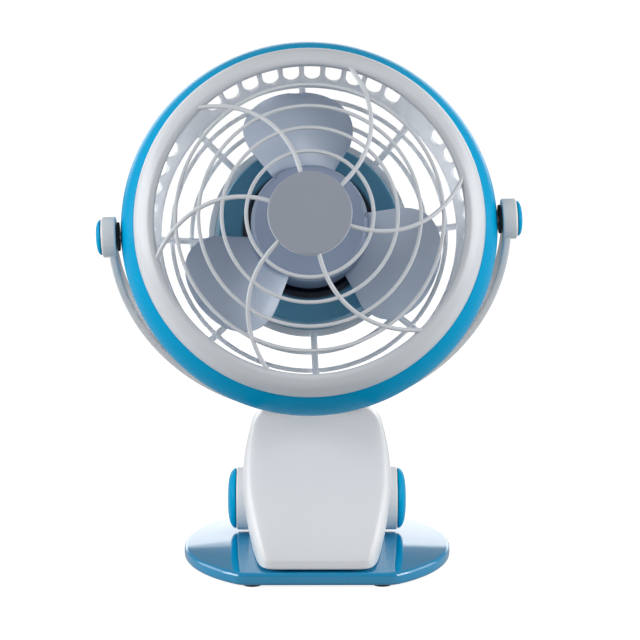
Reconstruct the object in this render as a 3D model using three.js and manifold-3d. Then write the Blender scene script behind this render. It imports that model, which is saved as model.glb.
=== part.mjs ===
// Clip fan: a small round desk fan in a U-shaped yoke, on a body that is the sprung
// upper jaw of a clip, with a round base plate as the lower jaw.
//
// Millimetres, +Z up, the fan blows towards -Y. The origin is on the desk, under the
// centre of the round base plate. Head pieces are drawn about the fan's own axis, +y
// pointing backwards, with their origin where the yoke's pivots meet that axis.

import * as THREE from "three";
import { mergeVertices } from "three/addons/utils/BufferGeometryUtils.js";
import Module from "manifold-3d";

const wasm = await Module();
wasm.setup();

// ---------------------------------------------------------------- clearances
const SEAT_GAP = 0.3; // between two pieces that rest on or fit into each other
const WELD = 1e-4; // points closer than this are one point

// ---------------------------------------------------------------- base plate
const BASE_RADIUS = 53;
const BASE_FRONT = 44; // centre to the straight front edge
const BASE_CORNER = 9;
const BASE_THICKNESS = 5;
const BASE_EDGE = 1.4; // rounding of the rim
const FOOT_RADIUS = 4;
const FOOT_HEIGHT = 1.3; // how far the rubber feet hold the plate off the desk
const FOOT_SINK = 1; // depth of the pocket that each foot sits in
const FOOT_SPREAD = 25;
const FOOT_FRONT = 37;
const FOOT_REAR = 36;

// ---------------------------------------------------------------- clip hinge
const HINGE_Y = 17;
const HINGE_Z = 20;
const PIN_RADIUS = 2.5;
const EAR_RADIUS = 6.5;
const EAR_OFFSET = 20; // centre of each ear from the middle plane
const EAR_THICKNESS = 4;
const BOSS_RADIUS = 12.8;
const BOSS_PROUD = 2.4; // how far the body's side bosses stand out of it
const HINGE_CAP_RADIUS = 12.3;
const HINGE_CAP_HEIGHT = 3.4;
const SPRING_WIRE = 1.4;
const SPRING_MEAN_RADIUS = 4.3;
const SPRING_TURNS = 4.5; // ends half a turn round, so that both legs point back
const SPRING_PITCH = 2.1;
const SPRING_LEG = 17;

// ---------------------------------------------------------------- body: the upper jaw
const JAW_GAP = 1; // base plate to the body's underside, closed
const BODY_HEIGHT = 50.5;
const BODY_HALF_WIDTH = 30;
const BODY_FRONT = 42.8;
const BODY_CREST_FRONT = 17;
const BODY_CREST_BACK = 20;
const BODY_BACK = 45.5;
const BODY_WALL = 2.2;
const LIP_HEIGHT = 3.5; // upright band at the front lip
const LIP_BEVEL = 0.8;
const HANDLE_Z = 26; // level at which the rear handle reaches furthest back
const HANDLE_RISE = 0.5; // slope of the underside behind the hinge
const UNDERSIDE_FLAT = 19.5; // where that slope starts
const CREST_TAPER = 0.19; // share of the width that is lost from the widest level to the crest
const FOOT_TAPER = 0.076; // and to the bottom
const WIDEST_Z = 28;
const JAW_TAPER = 0.2; // share of the width that is lost towards the lip
const CREST_ROUND = 5;
const REAR_SQUARENESS = 3.3; // of the body's plan
const FACE_SQUARENESS = 9;
const BODY_PLAN_MIDDLE = 12; // y of the widest place of its plan, at the bottom
const OPENING_HALF_WIDTH = 25.7; // hole in the underside for the ears and the spring
const OPENING_FRONT = 38.3;
const OPENING_BACK = 32;
const FLOOR_BACK = 8;
const FLOOR_THICKNESS = 2;
const PAD_HALF_WIDTH = 13;
const PAD_FRONT = 39.6;
const PAD_BACK = 34;
const PAD_SINK = 0.9; // how deep the pad sits in the lip
const FLOOR_SCREW_X = 13.5;
const FLOOR_SCREW_Y = -26;
const FLOOR_SCREW_RADIUS = 1.3;
const FLOOR_SCREW_LENGTH = 12;
const FLOOR_HEAD_RADIUS = 2.5;
const FLOOR_HEAD_HEIGHT = 1.2;
const FLOOR_HEAD_SINK = 1.8; // depth of the pocket for the head
const FLOOR_COLUMN_RADIUS = 3.6;
const FLOOR_BOSS_RADIUS = 4;
const FLOOR_BOSS_HEIGHT = 4.2;

// ---------------------------------------------------------------- electrics in the body
const CELL_RADIUS = 9;
const CELL_LENGTH = 48;
const CELL_Y = -9;
const CELL_LIFT = 2.6; // cell above the floor
const BOARD_HALF_WIDTH = 15;
const BOARD_HEIGHT = 20;
const BOARD_THICKNESS = 1.6;
const BOARD_Y = 34.3;
const BOARD_Z = 31;
const SOCKET_WIDTH = 9;
const SOCKET_HEIGHT = 3.3;
const SOCKET_BACK = 45.1;
const SOCKET_Z = 25;
const BUTTON_RADIUS = 4.5;
const BUTTON_Z = 33.8;
const BUTTON_BACK = 45.6;
const BUTTON_TRAVEL = 0.8;
const BUTTON_FLANGE = 5.4;
const SWITCH_SIDE = 6;
const SWITCH_THICKNESS = 1.1;

// ---------------------------------------------------------------- yoke
const SEAT_Y = 15; // centre of the seat on top of the body
const SEAT_DROP = 1.4; // the seat lies this far under the body's crest
const HEAD_LEAN = 2.2; // degrees, the upper part leans to the left on its seat
const HEAD_SWIVEL = 1.1; // degrees, the yoke stands turned a little to the right
const YOKE_LEAN = 14.5; // degrees, the yoke leans forwards
const YOKE_CLEARANCE = 1.95; // rim to the strap
const STRAP_THICKNESS = 3.1;
const STRAP_WIDTH = 11;
const STRAP_EDGE = 0.8;
const PIVOT_BOSS_RADIUS = 7.9;
const PIVOT_BOSS_PROUD = 2.2; // how far the pivot bosses stand out of the strap
const BOSS_INSET = 0.4; // and how far into it
const COUNTERBORE_RADIUS = 4.2;
const COUNTERBORE_DEPTH = 3; // the screw head's pocket in each boss
const PIVOT_CAP_RADIUS = 6.9;
const PIVOT_CAP_HEIGHT = 1.9;
const WASHER_RADIUS = 5.6;
const PIVOT_SCREW_RADIUS = 1.5;
const PIVOT_SCREW_REACH = 7; // how far its tip lies inside the rim
const PIVOT_HEAD_RADIUS = 3.4;
const PIVOT_HEAD_HEIGHT = 2.2;
const SCREW_POINT = 0.6; // length of a screw's blunt point
const FOOT_STEM_RADIUS = 6; // round foot under the strap
const FOOT_STEM_LENGTH = 1.6;
const SEAT_RECESS = 1; // how deep that foot sits in the body
const SWIVEL_RADIUS = 2.5;
const SWIVEL_WASHER_RADIUS = 6;
const SWIVEL_WASHER_THICKNESS = 0.7;
const SWIVEL_HEAD_RADIUS = 4.5;
const SWIVEL_HEAD_HEIGHT = 2.4;
const SWIVEL_CAP = 1.3; // plastic left over the swivel screw's end
const SEAT_BOSS_RADIUS = 8.5;
const SEAT_BOSS_DEPTH = 2.9;

// ---------------------------------------------------------------- head
const HEAD_TILT = 16.3; // degrees, the fan looks up
const RIM_RADIUS = 73.25;
const RIM_WALL = 2;
const RIM_FRONT = -16.2;
const RIM_BACK = 2.6;
// The outer skin of the rim: shares of the way out from the bezel, and of its depth.
const RIM_CURVE = [[0, 0], [0.59, 0.3], [0.89, 0.6], [1, 0.81], [0.95, 1]];
const RIM_BOSS_RADIUS = 4.6; // round each pivot screw, inside the rim
const RIM_BOSS_DEPTH = 8;
const BEZEL_INSET = 6.05; // rim radius to bezel radius
const BEZEL_WIDTH = 8.3;
const BEZEL_FRONT = -26.8;
const BEZEL_WALL = 2.2;
const BEZEL_SKIRT = 4.2; // how far the skirt reaches into the rim
const GRILLE_FRONT = -40.2; // front of the domed grille at its centre
const GRILLE_CROWN = 13.4; // how far its edge lies behind its centre
const GRILLE_DISC_RADIUS = 15.8;
const GRILLE_RINGS = [0.403, 0.559, 0.708, 0.857]; // shares of the bezel's opening
const GRILLE_RIB_WIDTH = 1.5;
const GRILLE_RIB_DEPTH = 2.4;
const RIB_DRAFT = 0.3; // ribs are this much wider at one face, to leave the mould
const SPOKES = 6;
const SPOKE_WIDTH = 1.8;
const SPOKE_START = -9.9; // degrees clockwise from the top, at the disc
const SPOKE_SWEEP = -31.35; // degrees from the disc to the bezel
const SPOKE_POWER = 1.62;
const BADGE_RADIUS = 14.4;
const BADGE_DEPTH = 2.2; // depth of the dish that it lies in
const DISH_LAND = 0.6; // from the dish's wall to its outer edge
const DISH_DEPTH = 3.6;
const BADGE_THICKNESS = 1;

const BOWL_INSET = 1.25; // rim radius to bowl radius
const BOWL_SLOPE = 12; // how far the slotted wall draws in
const BOWL_SHOULDER_Y = 14;
const BOWL_DOME_Y = 26.5; // how far back the rear ribs reach
const BOWL_RINGS = [0.71, 0.33]; // shares of the way from the flange to the shoulder
const BOWL_RIB_WIDTH = 1.8;
const BOWL_RIB_DEPTH = 2.8;
const BOWL_SPOKES = 8;
const BOWL_SPOKE_WIDTH = 2.6;
const SLOT_POSITIONS = 48;
const SLOTS_PER_QUARTER = 10;
const SLOT_WIDTH = 6.4;
const SLOT_FRONT = 4.9;
const SLOT_REAR = 12.4;
const HUB_FLANGE_OUTER = 40;
const HUB_FLANGE_INNER = 30;
const HUB_FLANGE_THICKNESS = 2;
const HOUSING_SCREW_INSET = 4.85; // rim radius to the screws' circle
const HOUSING_SCREW_RADIUS = 1.3;
const HOUSING_BOSS_RADIUS = 3.3;
const HOUSING_BOSS_DEPTH = 7.1; // bowl's front to the back of each boss
const HOUSING_LUG = 6; // how far the rim's lugs reach forwards
const HOUSING_POCKET_RADIUS = 2.5;
const HOUSING_POCKET_DEPTH = 1.8;
const HOUSING_HEAD_RADIUS = 2.2;
const HOUSING_SCREW_TIP = -3.6;

const CUP_RADIUS = 35.8;
const CUP_FLARE = 37.6;
const CUP_FRONT = 13;
const CUP_WALL = 2;
const COVER_DEPTH = 15;
const CAN_RADIUS = 13.5;
const CAN_LENGTH = 18;
const CAN_WALL = 0.8;
const BEARING_RADIUS = 3.1;
const BEARING_LENGTH = 3;
const SHAFT_RADIUS = 1;
const ARMATURE_RADIUS = 9.8;
const MAGNET_THICKNESS = 1.5;
const MOTOR_SCREW_CIRCLE = 8.5;
const MOTOR_SCREW_RADIUS = 1;
const CUP_SCREW_INSET = 3.4; // cup radius to the screws' circle
const CUP_SCREW_RADIUS = 1.3;
const CUP_SCREW_LENGTH = 8;
const CUP_HEAD_RADIUS = 2.4;
const CUP_BOSS_RADIUS = 2.9;
const CUP_RIB_HEIGHT = 1.2; // of the two fine rings round the hub's gap
const CUP_RIB_WIDTH = 1.4;
const SLEEVE_FIT = 0.4; // motor can to the sleeve that holds it
const SLEEVE_WALL = 1.8;
const SLEEVE_DEPTH = 9;
const ARMATURE_START = 3.4; // from the can's front face
const ARMATURE_LENGTH = 9.6;
const COMMUTATOR_RADIUS = 2.6;
const COMMUTATOR_END = 12;
const MAGNET_START = 2.4;
const MAGNET_LENGTH = 12;
const MOTOR_HEAD_RADIUS = 1.9;
const MOTOR_HEAD_HEIGHT = 1;

// ---------------------------------------------------------------- rotor
const BLADES = 3;
const BLADE_TURN = 2.4; // degrees clockwise, as the rotor came to rest
const BLADE_CLEARANCE = 6.3; // blade tips to the bezel's opening, seen from the front
const BLADE_MIDDLE = -5;
const BLADE_TRAILING = -39; // degrees clockwise of the blade's middle line
const BLADE_LEADING = 26.5;
const BLADE_CENTRE = -5; // degrees, where the two edges meet at the tip
const BLADE_TIP_START = 32; // radius where the edges start to round in
const BLADE_TIP_POWER = 2.5;
const BLADE_ROOT_DEPTH = 21; // along the axis, edge to edge
const BLADE_TIP_DEPTH = 15;
const BLADE_CAMBER = 2;
const BLADE_THICKNESS = 1.8;
const BLADE_EDGE = 0.9;
const HUB_RADIUS = 22.5;
const HUB_FRONT = -15.3;
const HUB_BACK = 10.6;
const HUB_WALL = 2;

// ---------------------------------------------------------------- facets
const RIM_STEPS = 36; // round the rim and the bezel
const RIB_STEPS = 22; // round the ribs of the grille and the bowl
const MOTOR_STEPS = 22; // round the hub, the cup and the cover
const SMALL_STEPS = 10;
const SCREW_STEPS = 8;
const BODY_STEPS = 26;
const CAVITY_STEPS = 20;

// ---------------------------------------------------------------- sizes that follow
const PLATE_TOP = FOOT_HEIGHT + BASE_THICKNESS;
const BOSS_REACH = BODY_HALF_WIDTH + BOSS_PROUD; // outer face of the body's side bosses
const BODY_BOTTOM = PLATE_TOP + JAW_GAP;
const BODY_TOP = BODY_BOTTOM + BODY_HEIGHT;
const LIP_TOP = BODY_BOTTOM + LIP_HEIGHT;
const CELL_Z = BODY_BOTTOM + FLOOR_THICKNESS + CELL_LIFT + CELL_RADIUS;
const BOARD_FACE = BOARD_Y + BOARD_THICKNESS + SEAT_GAP; // where parts on the board start
const SCREW_BOSS_TOP = BODY_BOTTOM + FLOOR_BOSS_HEIGHT;
const SEAT_Z = BODY_TOP - SEAT_DROP;
const STRAP_INNER = RIM_RADIUS + YOKE_CLEARANCE;
const STRAP_OUTER = STRAP_INNER + STRAP_THICKNESS;
const PIVOT_BOSS_REACH = STRAP_OUTER + PIVOT_BOSS_PROUD;
const BOSS_INNER = STRAP_INNER - BOSS_INSET; // inner face of the pivot bosses
const STEM_END = STRAP_OUTER + FOOT_STEM_LENGTH;
const SEAT_DISTANCE = STEM_END + SEAT_GAP; // pivots to the seat
const BEZEL_RADIUS = RIM_RADIUS - BEZEL_INSET;
const BEZEL_OPENING = BEZEL_RADIUS - BEZEL_WIDTH;
const BOWL_RADIUS = RIM_RADIUS - BOWL_INSET;
const BOWL_SHOULDER = BOWL_RADIUS - BOWL_SLOPE; // radius where the slotted wall ends
const BOWL_FRONT = RIM_BACK + SEAT_GAP;
const HOUSING_SCREW_CIRCLE = RIM_RADIUS - HOUSING_SCREW_INSET;
const HOUSING_BOSS_BACK = BOWL_FRONT + HOUSING_BOSS_DEPTH;
const FLANGE_FRONT = BOWL_DOME_Y - HUB_FLANGE_THICKNESS;
const CUP_BACK = FLANGE_FRONT - SEAT_GAP;
const CUP_SCREW_CIRCLE = CUP_RADIUS - CUP_SCREW_INSET;
const CAN_FRONT = CUP_FRONT + CUP_WALL + SEAT_GAP;
const REAR_BEARING = CAN_FRONT + CAN_LENGTH - 2;
const BLADE_TIP = BEZEL_OPENING - BLADE_CLEARANCE;

// ================================================================= geometry helpers
const toRadians = THREE.MathUtils.degToRad;

// Turns a closed geometry into a solid: points merged, empty faces dropped, faces out.
function solid(geometry) {
  const bare = new THREE.BufferGeometry();
  bare.setAttribute("position", geometry.getAttribute("position"));
  bare.setIndex(geometry.getIndex());
  const merged = mergeVertices(bare, WELD);
  const points = merged.getAttribute("position").array;
  const faces = merged.getIndex().array;
  const kept = [];
  let volume = 0;
  const corner = [new THREE.Vector3(), new THREE.Vector3(), new THREE.Vector3()];
  for (let i = 0; i < faces.length; i += 3) {
    const [a, b, c] = [faces[i], faces[i + 1], faces[i + 2]];
    if (a !== b && b !== c && c !== a) {
      kept.push([a, b, c]);
      [a, b, c].forEach((index, k) => corner[k].fromArray(points, index * 3));
      volume += corner[0].dot(corner[1].cross(corner[2]));
    }
  }
  const outward = kept.map(([a, b, c]) => (volume > 0 ? [a, b, c] : [a, c, b]));
  return new wasm.Manifold(
    new wasm.Mesh({
      numProp: 3,
      vertProperties: new Float32Array(points),
      triVerts: new Uint32Array(outward.flat()),
    })
  );
}

function join(first, ...others) {
  return others.reduce((sum, other) => sum.add(other), first);
}

function cut(first, ...others) {
  return others.reduce((rest, other) => rest.subtract(other), first);
}

// A body of revolution about y. The profile is a closed polygon of [radius, y] points,
// or starts and ends on the axis.
function turned(profile, steps = RIM_STEPS) {
  const points = profile.map(([radius, y]) => new THREE.Vector2(radius, y));
  const onAxis = profile[0][0] === 0 && profile[profile.length - 1][0] === 0;
  if (!onAxis) {
    points.push(points[0].clone());
  }
  return new THREE.LatheGeometry(points, steps);
}

// The same, about x: y of the profile runs outwards on the given side (1 or -1).
function turnedAlongX(profile, side, steps = SMALL_STEPS) {
  return turned(profile, steps).rotateZ((-side * Math.PI) / 2);
}

// The same, about z, y of the profile running upwards.
function turnedAlongZ(profile, steps = SMALL_STEPS) {
  return turned(profile, steps).rotateX(Math.PI / 2);
}

function rod(radius, from, to) {
  return [[0, from], [radius, from], [radius, to], [0, to]];
}

function tube(inner, outer, from, to) {
  return [[inner, from], [outer, from], [outer, to], [inner, to]];
}

function box(low, high) {
  const size = high.map((value, axis) => value - low[axis]);
  const middle = high.map((value, axis) => (value + low[axis]) / 2);
  return new THREE.BoxGeometry(...size).translate(...middle);
}

// A closed body through rings of points, in which point i faces point n - 1 - i.
function loft(rings) {
  const count = rings[0].length;
  const index = [];
  for (let row = 0; row + 1 < rings.length; row += 1) {
    for (let i = 0; i < count; i += 1) {
      const a = row * count + i;
      const b = row * count + ((i + 1) % count);
      index.push(a, b, b + count, a, b + count, a + count);
    }
  }
  const last = (rings.length - 1) * count;
  for (let i = 0; i + 1 < count / 2; i += 1) {
    const [p, q, r, s] = [i, i + 1, count - 2 - i, count - 1 - i];
    index.push(p, r, q, p, s, r);
    index.push(last + p, last + q, last + r, last + p, last + r, last + s);
  }
  const geometry = new THREE.BufferGeometry();
  const values = rings.flat().flatMap((point) => [point.x, point.y, point.z]);
  geometry.setAttribute("position", new THREE.Float32BufferAttribute(values, 3));
  geometry.setIndex(index);
  return geometry;
}

// A round wire along a path of points.
function wire(path, radius, sides) {
  let across = new THREE.Vector3(1, 0, 0);
  const rings = path.map((point, i) => {
    const before = path[Math.max(i - 1, 0)];
    const after = path[Math.min(i + 1, path.length - 1)];
    const along = after.clone().sub(before).normalize();
    across = across.clone().addScaledVector(along, -across.dot(along)).normalize();
    const up = along.clone().cross(across);
    return Array.from({ length: sides }, (_, k) => {
      const angle = ((k + 0.5) * 2 * Math.PI) / sides;
      return point
        .clone()
        .addScaledVector(across, radius * Math.cos(angle))
        .addScaledVector(up, radius * Math.sin(angle));
    });
  });
  return loft(rings);
}

// A moulded rib along a path, its faces square to y: front width, back width, depth.
function rib(path, frontWidth, backWidth, depth) {
  const rings = path.map((point, i) => {
    const before = path[Math.max(i - 1, 0)];
    const after = path[Math.min(i + 1, path.length - 1)];
    const along = after.clone().sub(before).setY(0).normalize();
    const across = new THREE.Vector3(along.z, 0, -along.x);
    const corner = (width, back) =>
      point.clone().addScaledVector(across, width / 2).add(new THREE.Vector3(0, back, 0));
    return [
      corner(-frontWidth, 0),
      corner(frontWidth, 0),
      corner(backWidth, depth),
      corner(-backWidth, depth),
    ];
  });
  return loft(rings);
}

// A point at a clockwise angle from the top, as the fan is seen from the front.
function clockPoint(radius, degrees, y = 0) {
  const angle = toRadians(degrees);
  return new THREE.Vector3(radius * Math.sin(angle), y, radius * Math.cos(angle));
}

function arcPoints(x, y, radius, fromDegrees, toDegrees, steps) {
  return Array.from({ length: steps + 1 }, (_, i) => {
    const angle = toRadians(fromDegrees + ((toDegrees - fromDegrees) * i) / steps);
    return new THREE.Vector2(x + radius * Math.cos(angle), y + radius * Math.sin(angle));
  });
}

// An outline extruded upwards from a level, with rounded edges if asked for.
function plate(points, bottom, thickness, edge = 0, edgeSteps = 2) {
  const geometry = new THREE.ExtrudeGeometry(new THREE.Shape(points), {
    depth: thickness - 2 * edge,
    steps: 1,
    bevelEnabled: edge > 0,
    bevelThickness: edge,
    bevelSize: edge,
    bevelOffset: -edge,
    bevelSegments: edgeSteps,
  });
  return geometry.translate(0, 0, bottom + edge);
}

// ================================================================= materials
function plastic(color, roughness) {
  return new THREE.MeshStandardMaterial({ color, roughness, metalness: 0 });
}

const whitePlastic = () => plastic(0xeef0f2, 0.38);
const bluePlastic = () => plastic(0x0a9bd0, 0.16);
const bladePlastic = () => plastic(0x9fb4c8, 0.3);
const blackRubber = () => plastic(0x151618, 0.75);
const boardGreen = () => plastic(0x1d6b45, 0.5);
const cellWrap = () => plastic(0x3a6fb5, 0.4);
const greyPlastic = () => plastic(0xc4c8cc, 0.42);
const steel = () => new THREE.MeshStandardMaterial({ color: 0xb9bcc0, roughness: 0.3, metalness: 1 });
const copper = () => new THREE.MeshStandardMaterial({ color: 0xb5692f, roughness: 0.4, metalness: 1 });
const ferrite = () => plastic(0x2d2e31, 0.8);

// ================================================================= base
function baseOutline() {
  const cornerY = BASE_CORNER - BASE_FRONT;
  const cornerX = Math.sqrt((BASE_RADIUS - BASE_CORNER) ** 2 - cornerY ** 2);
  const turn = THREE.MathUtils.radToDeg(Math.atan2(cornerY, cornerX));
  return [
    ...arcPoints(-cornerX, cornerY, BASE_CORNER, 180 - turn, 270, 3),
    ...arcPoints(cornerX, cornerY, BASE_CORNER, -90, turn, 3),
    ...arcPoints(0, 0, BASE_RADIUS, turn, 180 - turn, 32).slice(1, -1),
  ];
}

function footPlaces() {
  return [
    ["foot_front_left", -FOOT_SPREAD, -FOOT_FRONT],
    ["foot_front_right", FOOT_SPREAD, -FOOT_FRONT],
    ["foot_rear_left", -FOOT_SPREAD, FOOT_REAR],
    ["foot_rear_right", FOOT_SPREAD, FOOT_REAR],
  ];
}

// An ear: upright sides up to the pin's level, then round about the pin.
function hingeEar(x) {
  const outline = [
    new THREE.Vector2(-EAR_RADIUS, PLATE_TOP - HINGE_Z - BASE_THICKNESS / 2),
    new THREE.Vector2(EAR_RADIUS, PLATE_TOP - HINGE_Z - BASE_THICKNESS / 2),
    ...arcPoints(0, 0, EAR_RADIUS, 0, 180, 8),
  ];
  const ear = plate(outline, -EAR_THICKNESS / 2, EAR_THICKNESS);
  return solid(ear.rotateX(Math.PI / 2).rotateZ(Math.PI / 2).translate(x, HINGE_Y, HINGE_Z));
}

function hingeBore(radius, reach) {
  return solid(turnedAlongX(rod(radius, -reach, reach), 1).translate(0, HINGE_Y, HINGE_Z));
}

function basePlate() {
  const disc = solid(plate(baseOutline(), FOOT_HEIGHT, BASE_THICKNESS, BASE_EDGE));
  const pockets = footPlaces().map(([, x, y]) => {
    const pocket = rod(FOOT_RADIUS + SEAT_GAP, 0, FOOT_HEIGHT + FOOT_SINK);
    return solid(turnedAlongZ(pocket).translate(x, y, 0));
  });
  const ears = [-EAR_OFFSET, EAR_OFFSET].map(hingeEar);
  return cut(join(disc, ...ears), hingeBore(PIN_RADIUS + SEAT_GAP, BOSS_REACH), ...pockets);
}

function rubberFoot(x, y) {
  const edge = 0.4;
  const top = FOOT_HEIGHT + FOOT_SINK - SEAT_GAP;
  const profile = [[0, 0], [FOOT_RADIUS - edge, 0], [FOOT_RADIUS, edge], [FOOT_RADIUS, top], [0, top]];
  return solid(turnedAlongZ(profile).translate(x, y, 0));
}

function hingePin() {
  return hingeBore(PIN_RADIUS, BOSS_REACH - 2 * SEAT_GAP);
}

// A torsion spring round the pin: the lower leg lies on the plate, the upper one lifts
// the rear of the body.
function clipSpring() {
  const stepsPerTurn = 8;
  const steps = SPRING_TURNS * stepsPerTurn;
  const half = (SPRING_TURNS * SPRING_PITCH) / 2;
  const coilPoint = (turn, x) =>
    new THREE.Vector3(
      x,
      HINGE_Y + SPRING_MEAN_RADIUS * Math.cos(turn),
      HINGE_Z + SPRING_MEAN_RADIUS * Math.sin(turn)
    );
  const legDrop = HINGE_Z - PLATE_TOP - SPRING_WIRE / 2 - SEAT_GAP;
  const lowerEnd = new THREE.Vector3(-half, HINGE_Y + SPRING_LEG * 0.75, HINGE_Z - legDrop);
  const upperEnd = new THREE.Vector3(half, HINGE_Y + SPRING_LEG * 0.8, HINGE_Z + SPRING_LEG * 0.6);
  const coil = Array.from({ length: steps + 1 }, (_, i) =>
    coilPoint(Math.PI / 2 + (i / stepsPerTurn) * 2 * Math.PI, half - (2 * half * i) / steps)
  );
  const leastGap = SPRING_PITCH - SPRING_WIRE;
  console.log(`clip spring: least gap between turns ${leastGap.toFixed(2)} mm`);
  return solid(wire([upperEnd, ...coil, lowerEnd], SPRING_WIRE / 2, 6));
}

// ================================================================= clip body
function faceRise(z) {
  return THREE.MathUtils.clamp((z - LIP_TOP) / (BODY_TOP - LIP_TOP), 0, 1);
}

function bodyFront(z) {
  const reach = (1 - faceRise(z) ** 1.2) ** 0.55;
  return BODY_CREST_FRONT - reach * (BODY_CREST_FRONT + BODY_FRONT);
}

function bodyBack(z) {
  const rise = THREE.MathUtils.clamp((z - HANDLE_Z) / (BODY_TOP - HANDLE_Z), 0, 1);
  const rear = BODY_CREST_BACK + (BODY_BACK - BODY_CREST_BACK) * Math.sqrt(1 - rise ** 2);
  const underside = UNDERSIDE_FLAT + Math.max(z - BODY_BOTTOM, 0) / HANDLE_RISE;
  return Math.min(rear, underside);
}

function bodyHalfWidth(z) {
  const span = z > WIDEST_Z ? BODY_TOP - WIDEST_Z : WIDEST_Z - BODY_BOTTOM;
  const taper = z > WIDEST_Z ? CREST_TAPER : FOOT_TAPER;
  const width = BODY_HALF_WIDTH * (1 - taper * ((z - WIDEST_Z) / span) ** 2);
  const overhang = THREE.MathUtils.clamp(z - (BODY_TOP - CREST_ROUND), 0, CREST_ROUND);
  return width - (CREST_ROUND - Math.sqrt(CREST_ROUND ** 2 - overhang ** 2));
}

// The plan of the body at one level: round behind, narrower and squarer towards the lip.
function bodyRing(z, front, back, halfWidth, steps = BODY_STEPS) {
  const middle = THREE.MathUtils.lerp(BODY_PLAN_MIDDLE, (front + back) / 2, faceRise(z) ** 2);
  return Array.from({ length: steps }, (_, i) => {
    const angle = ((i + 0.5) * 2 * Math.PI) / steps - Math.PI / 2;
    const ahead = Math.sin(angle) < 0;
    const power = 2 / (ahead ? FACE_SQUARENESS : REAR_SQUARENESS);
    const side = Math.abs(Math.cos(angle)) ** power * Math.sign(Math.cos(angle));
    const depth = Math.abs(Math.sin(angle)) ** power;
    const y = middle + depth * ((ahead ? front : back) - middle);
    const forward = Math.max(0, BODY_PLAN_MIDDLE - y) / (BODY_PLAN_MIDDLE + BODY_FRONT);
    return new THREE.Vector3(side * halfWidth * (1 - JAW_TAPER * forward ** 1.2), y, z);
  });
}

const FORM_LEVELS = [0.016, 0.07, 0.15, 0.25, 0.36, 0.5, 0.64, 0.76, 0.86, 0.94, 0.985, 1];
const CAVITY_LEVELS = [0, 0.14, 0.32, 0.55, 0.76, 0.9, 1];

function levelsBetween(bottom, top, shares) {
  return shares.map((share) => bottom + share * (top - bottom));
}

function bodyForm() {
  const bevelled = bodyRing(
    BODY_BOTTOM,
    bodyFront(BODY_BOTTOM) + LIP_BEVEL,
    bodyBack(BODY_BOTTOM) - LIP_BEVEL,
    bodyHalfWidth(BODY_BOTTOM) - LIP_BEVEL
  );
  const rings = levelsBetween(BODY_BOTTOM, BODY_TOP, FORM_LEVELS).map((z) =>
    bodyRing(z, bodyFront(z), bodyBack(z), bodyHalfWidth(z))
  );
  return solid(loft([bevelled, ...rings]));
}

// The room inside the body, one wall in from the form on every side.
function bodyCavity() {
  const bottom = BODY_BOTTOM + FLOOR_THICKNESS;
  const rings = levelsBetween(bottom, BODY_TOP - BODY_WALL, CAVITY_LEVELS).map((z) => {
    const front = bodyFront(z + BODY_WALL) + BODY_WALL;
    const back = Math.min(bodyBack(z + BODY_WALL), bodyBack(z - BODY_WALL)) - BODY_WALL;
    const halfWidth = bodyHalfWidth(z + BODY_WALL / 2) - BODY_WALL;
    return bodyRing(z, front, Math.max(back, front + 1), halfWidth, CAVITY_STEPS);
  });
  return solid(loft(rings));
}

function undersideOpening(inset, bottom, thickness) {
  const ring = bodyRing(BODY_BOTTOM, -OPENING_FRONT, OPENING_BACK, OPENING_HALF_WIDTH, CAVITY_STEPS);
  const shrink = (point) => {
    const scaleX = (OPENING_HALF_WIDTH - inset) / OPENING_HALF_WIDTH;
    const half = (OPENING_FRONT + OPENING_BACK) / 2;
    const centre = OPENING_BACK - half;
    return new THREE.Vector2(point.x * scaleX, centre + ((point.y - centre) * (half - inset)) / half);
  };
  return solid(plate(ring.map(shrink), bottom, thickness));
}

function screwColumn(side, radius, bottom, top) {
  const column = turnedAlongZ(rod(radius, bottom, top));
  return solid(column.translate(side * FLOOR_SCREW_X, FLOOR_SCREW_Y, 0));
}

function padRecess() {
  const gap = SEAT_GAP;
  return solid(
    box(
      [-PAD_HALF_WIDTH - gap, -PAD_FRONT - gap, BODY_BOTTOM - JAW_GAP],
      [PAD_HALF_WIDTH + gap, -PAD_BACK + gap, BODY_BOTTOM + PAD_SINK + gap]
    )
  );
}

// A solid of revolution on the yoke's own axis, placed on the body's top: y of the
// profile is the height above the seat.
function onSeat(profile, steps = SMALL_STEPS) {
  const turn = new THREE.Matrix4().makeRotationFromEuler(
    new THREE.Euler(toRadians(YOKE_LEAN), -toRadians(HEAD_LEAN), 0, "YXZ")
  );
  const geometry = turnedAlongZ(profile, steps).applyMatrix4(turn);
  return solid(geometry.translate(0, SEAT_Y, SEAT_Z));
}

function floorScrewHole(side, height) {
  return screwColumn(side, FLOOR_SCREW_RADIUS + SEAT_GAP, BODY_BOTTOM - 1, BODY_BOTTOM + height);
}

const BOARD_POST_X = 11;
const BOARD_POST_RADIUS = 2.2;

function boardPost(side, form) {
  const post = turned(rod(BOARD_POST_RADIUS, BOARD_FACE, BODY_BACK + 1), SCREW_STEPS);
  return solid(post.translate(side * BOARD_POST_X, 0, BOARD_Z)).intersect(form);
}

function socketHole() {
  const half = [SOCKET_WIDTH / 2 + SEAT_GAP, SOCKET_HEIGHT / 2 + SEAT_GAP];
  const low = [-half[0], BOARD_Y + BOARD_THICKNESS, SOCKET_Z - half[1]];
  return solid(box(low, [half[0], BODY_BACK + 1, SOCKET_Z + half[1]]));
}

function buttonBore() {
  const bore = rod(BUTTON_RADIUS + SEAT_GAP, BOARD_Y + BOARD_THICKNESS, BODY_BACK + 1);
  return solid(turned(bore, SMALL_STEPS).translate(0, 0, BUTTON_Z));
}

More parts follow.
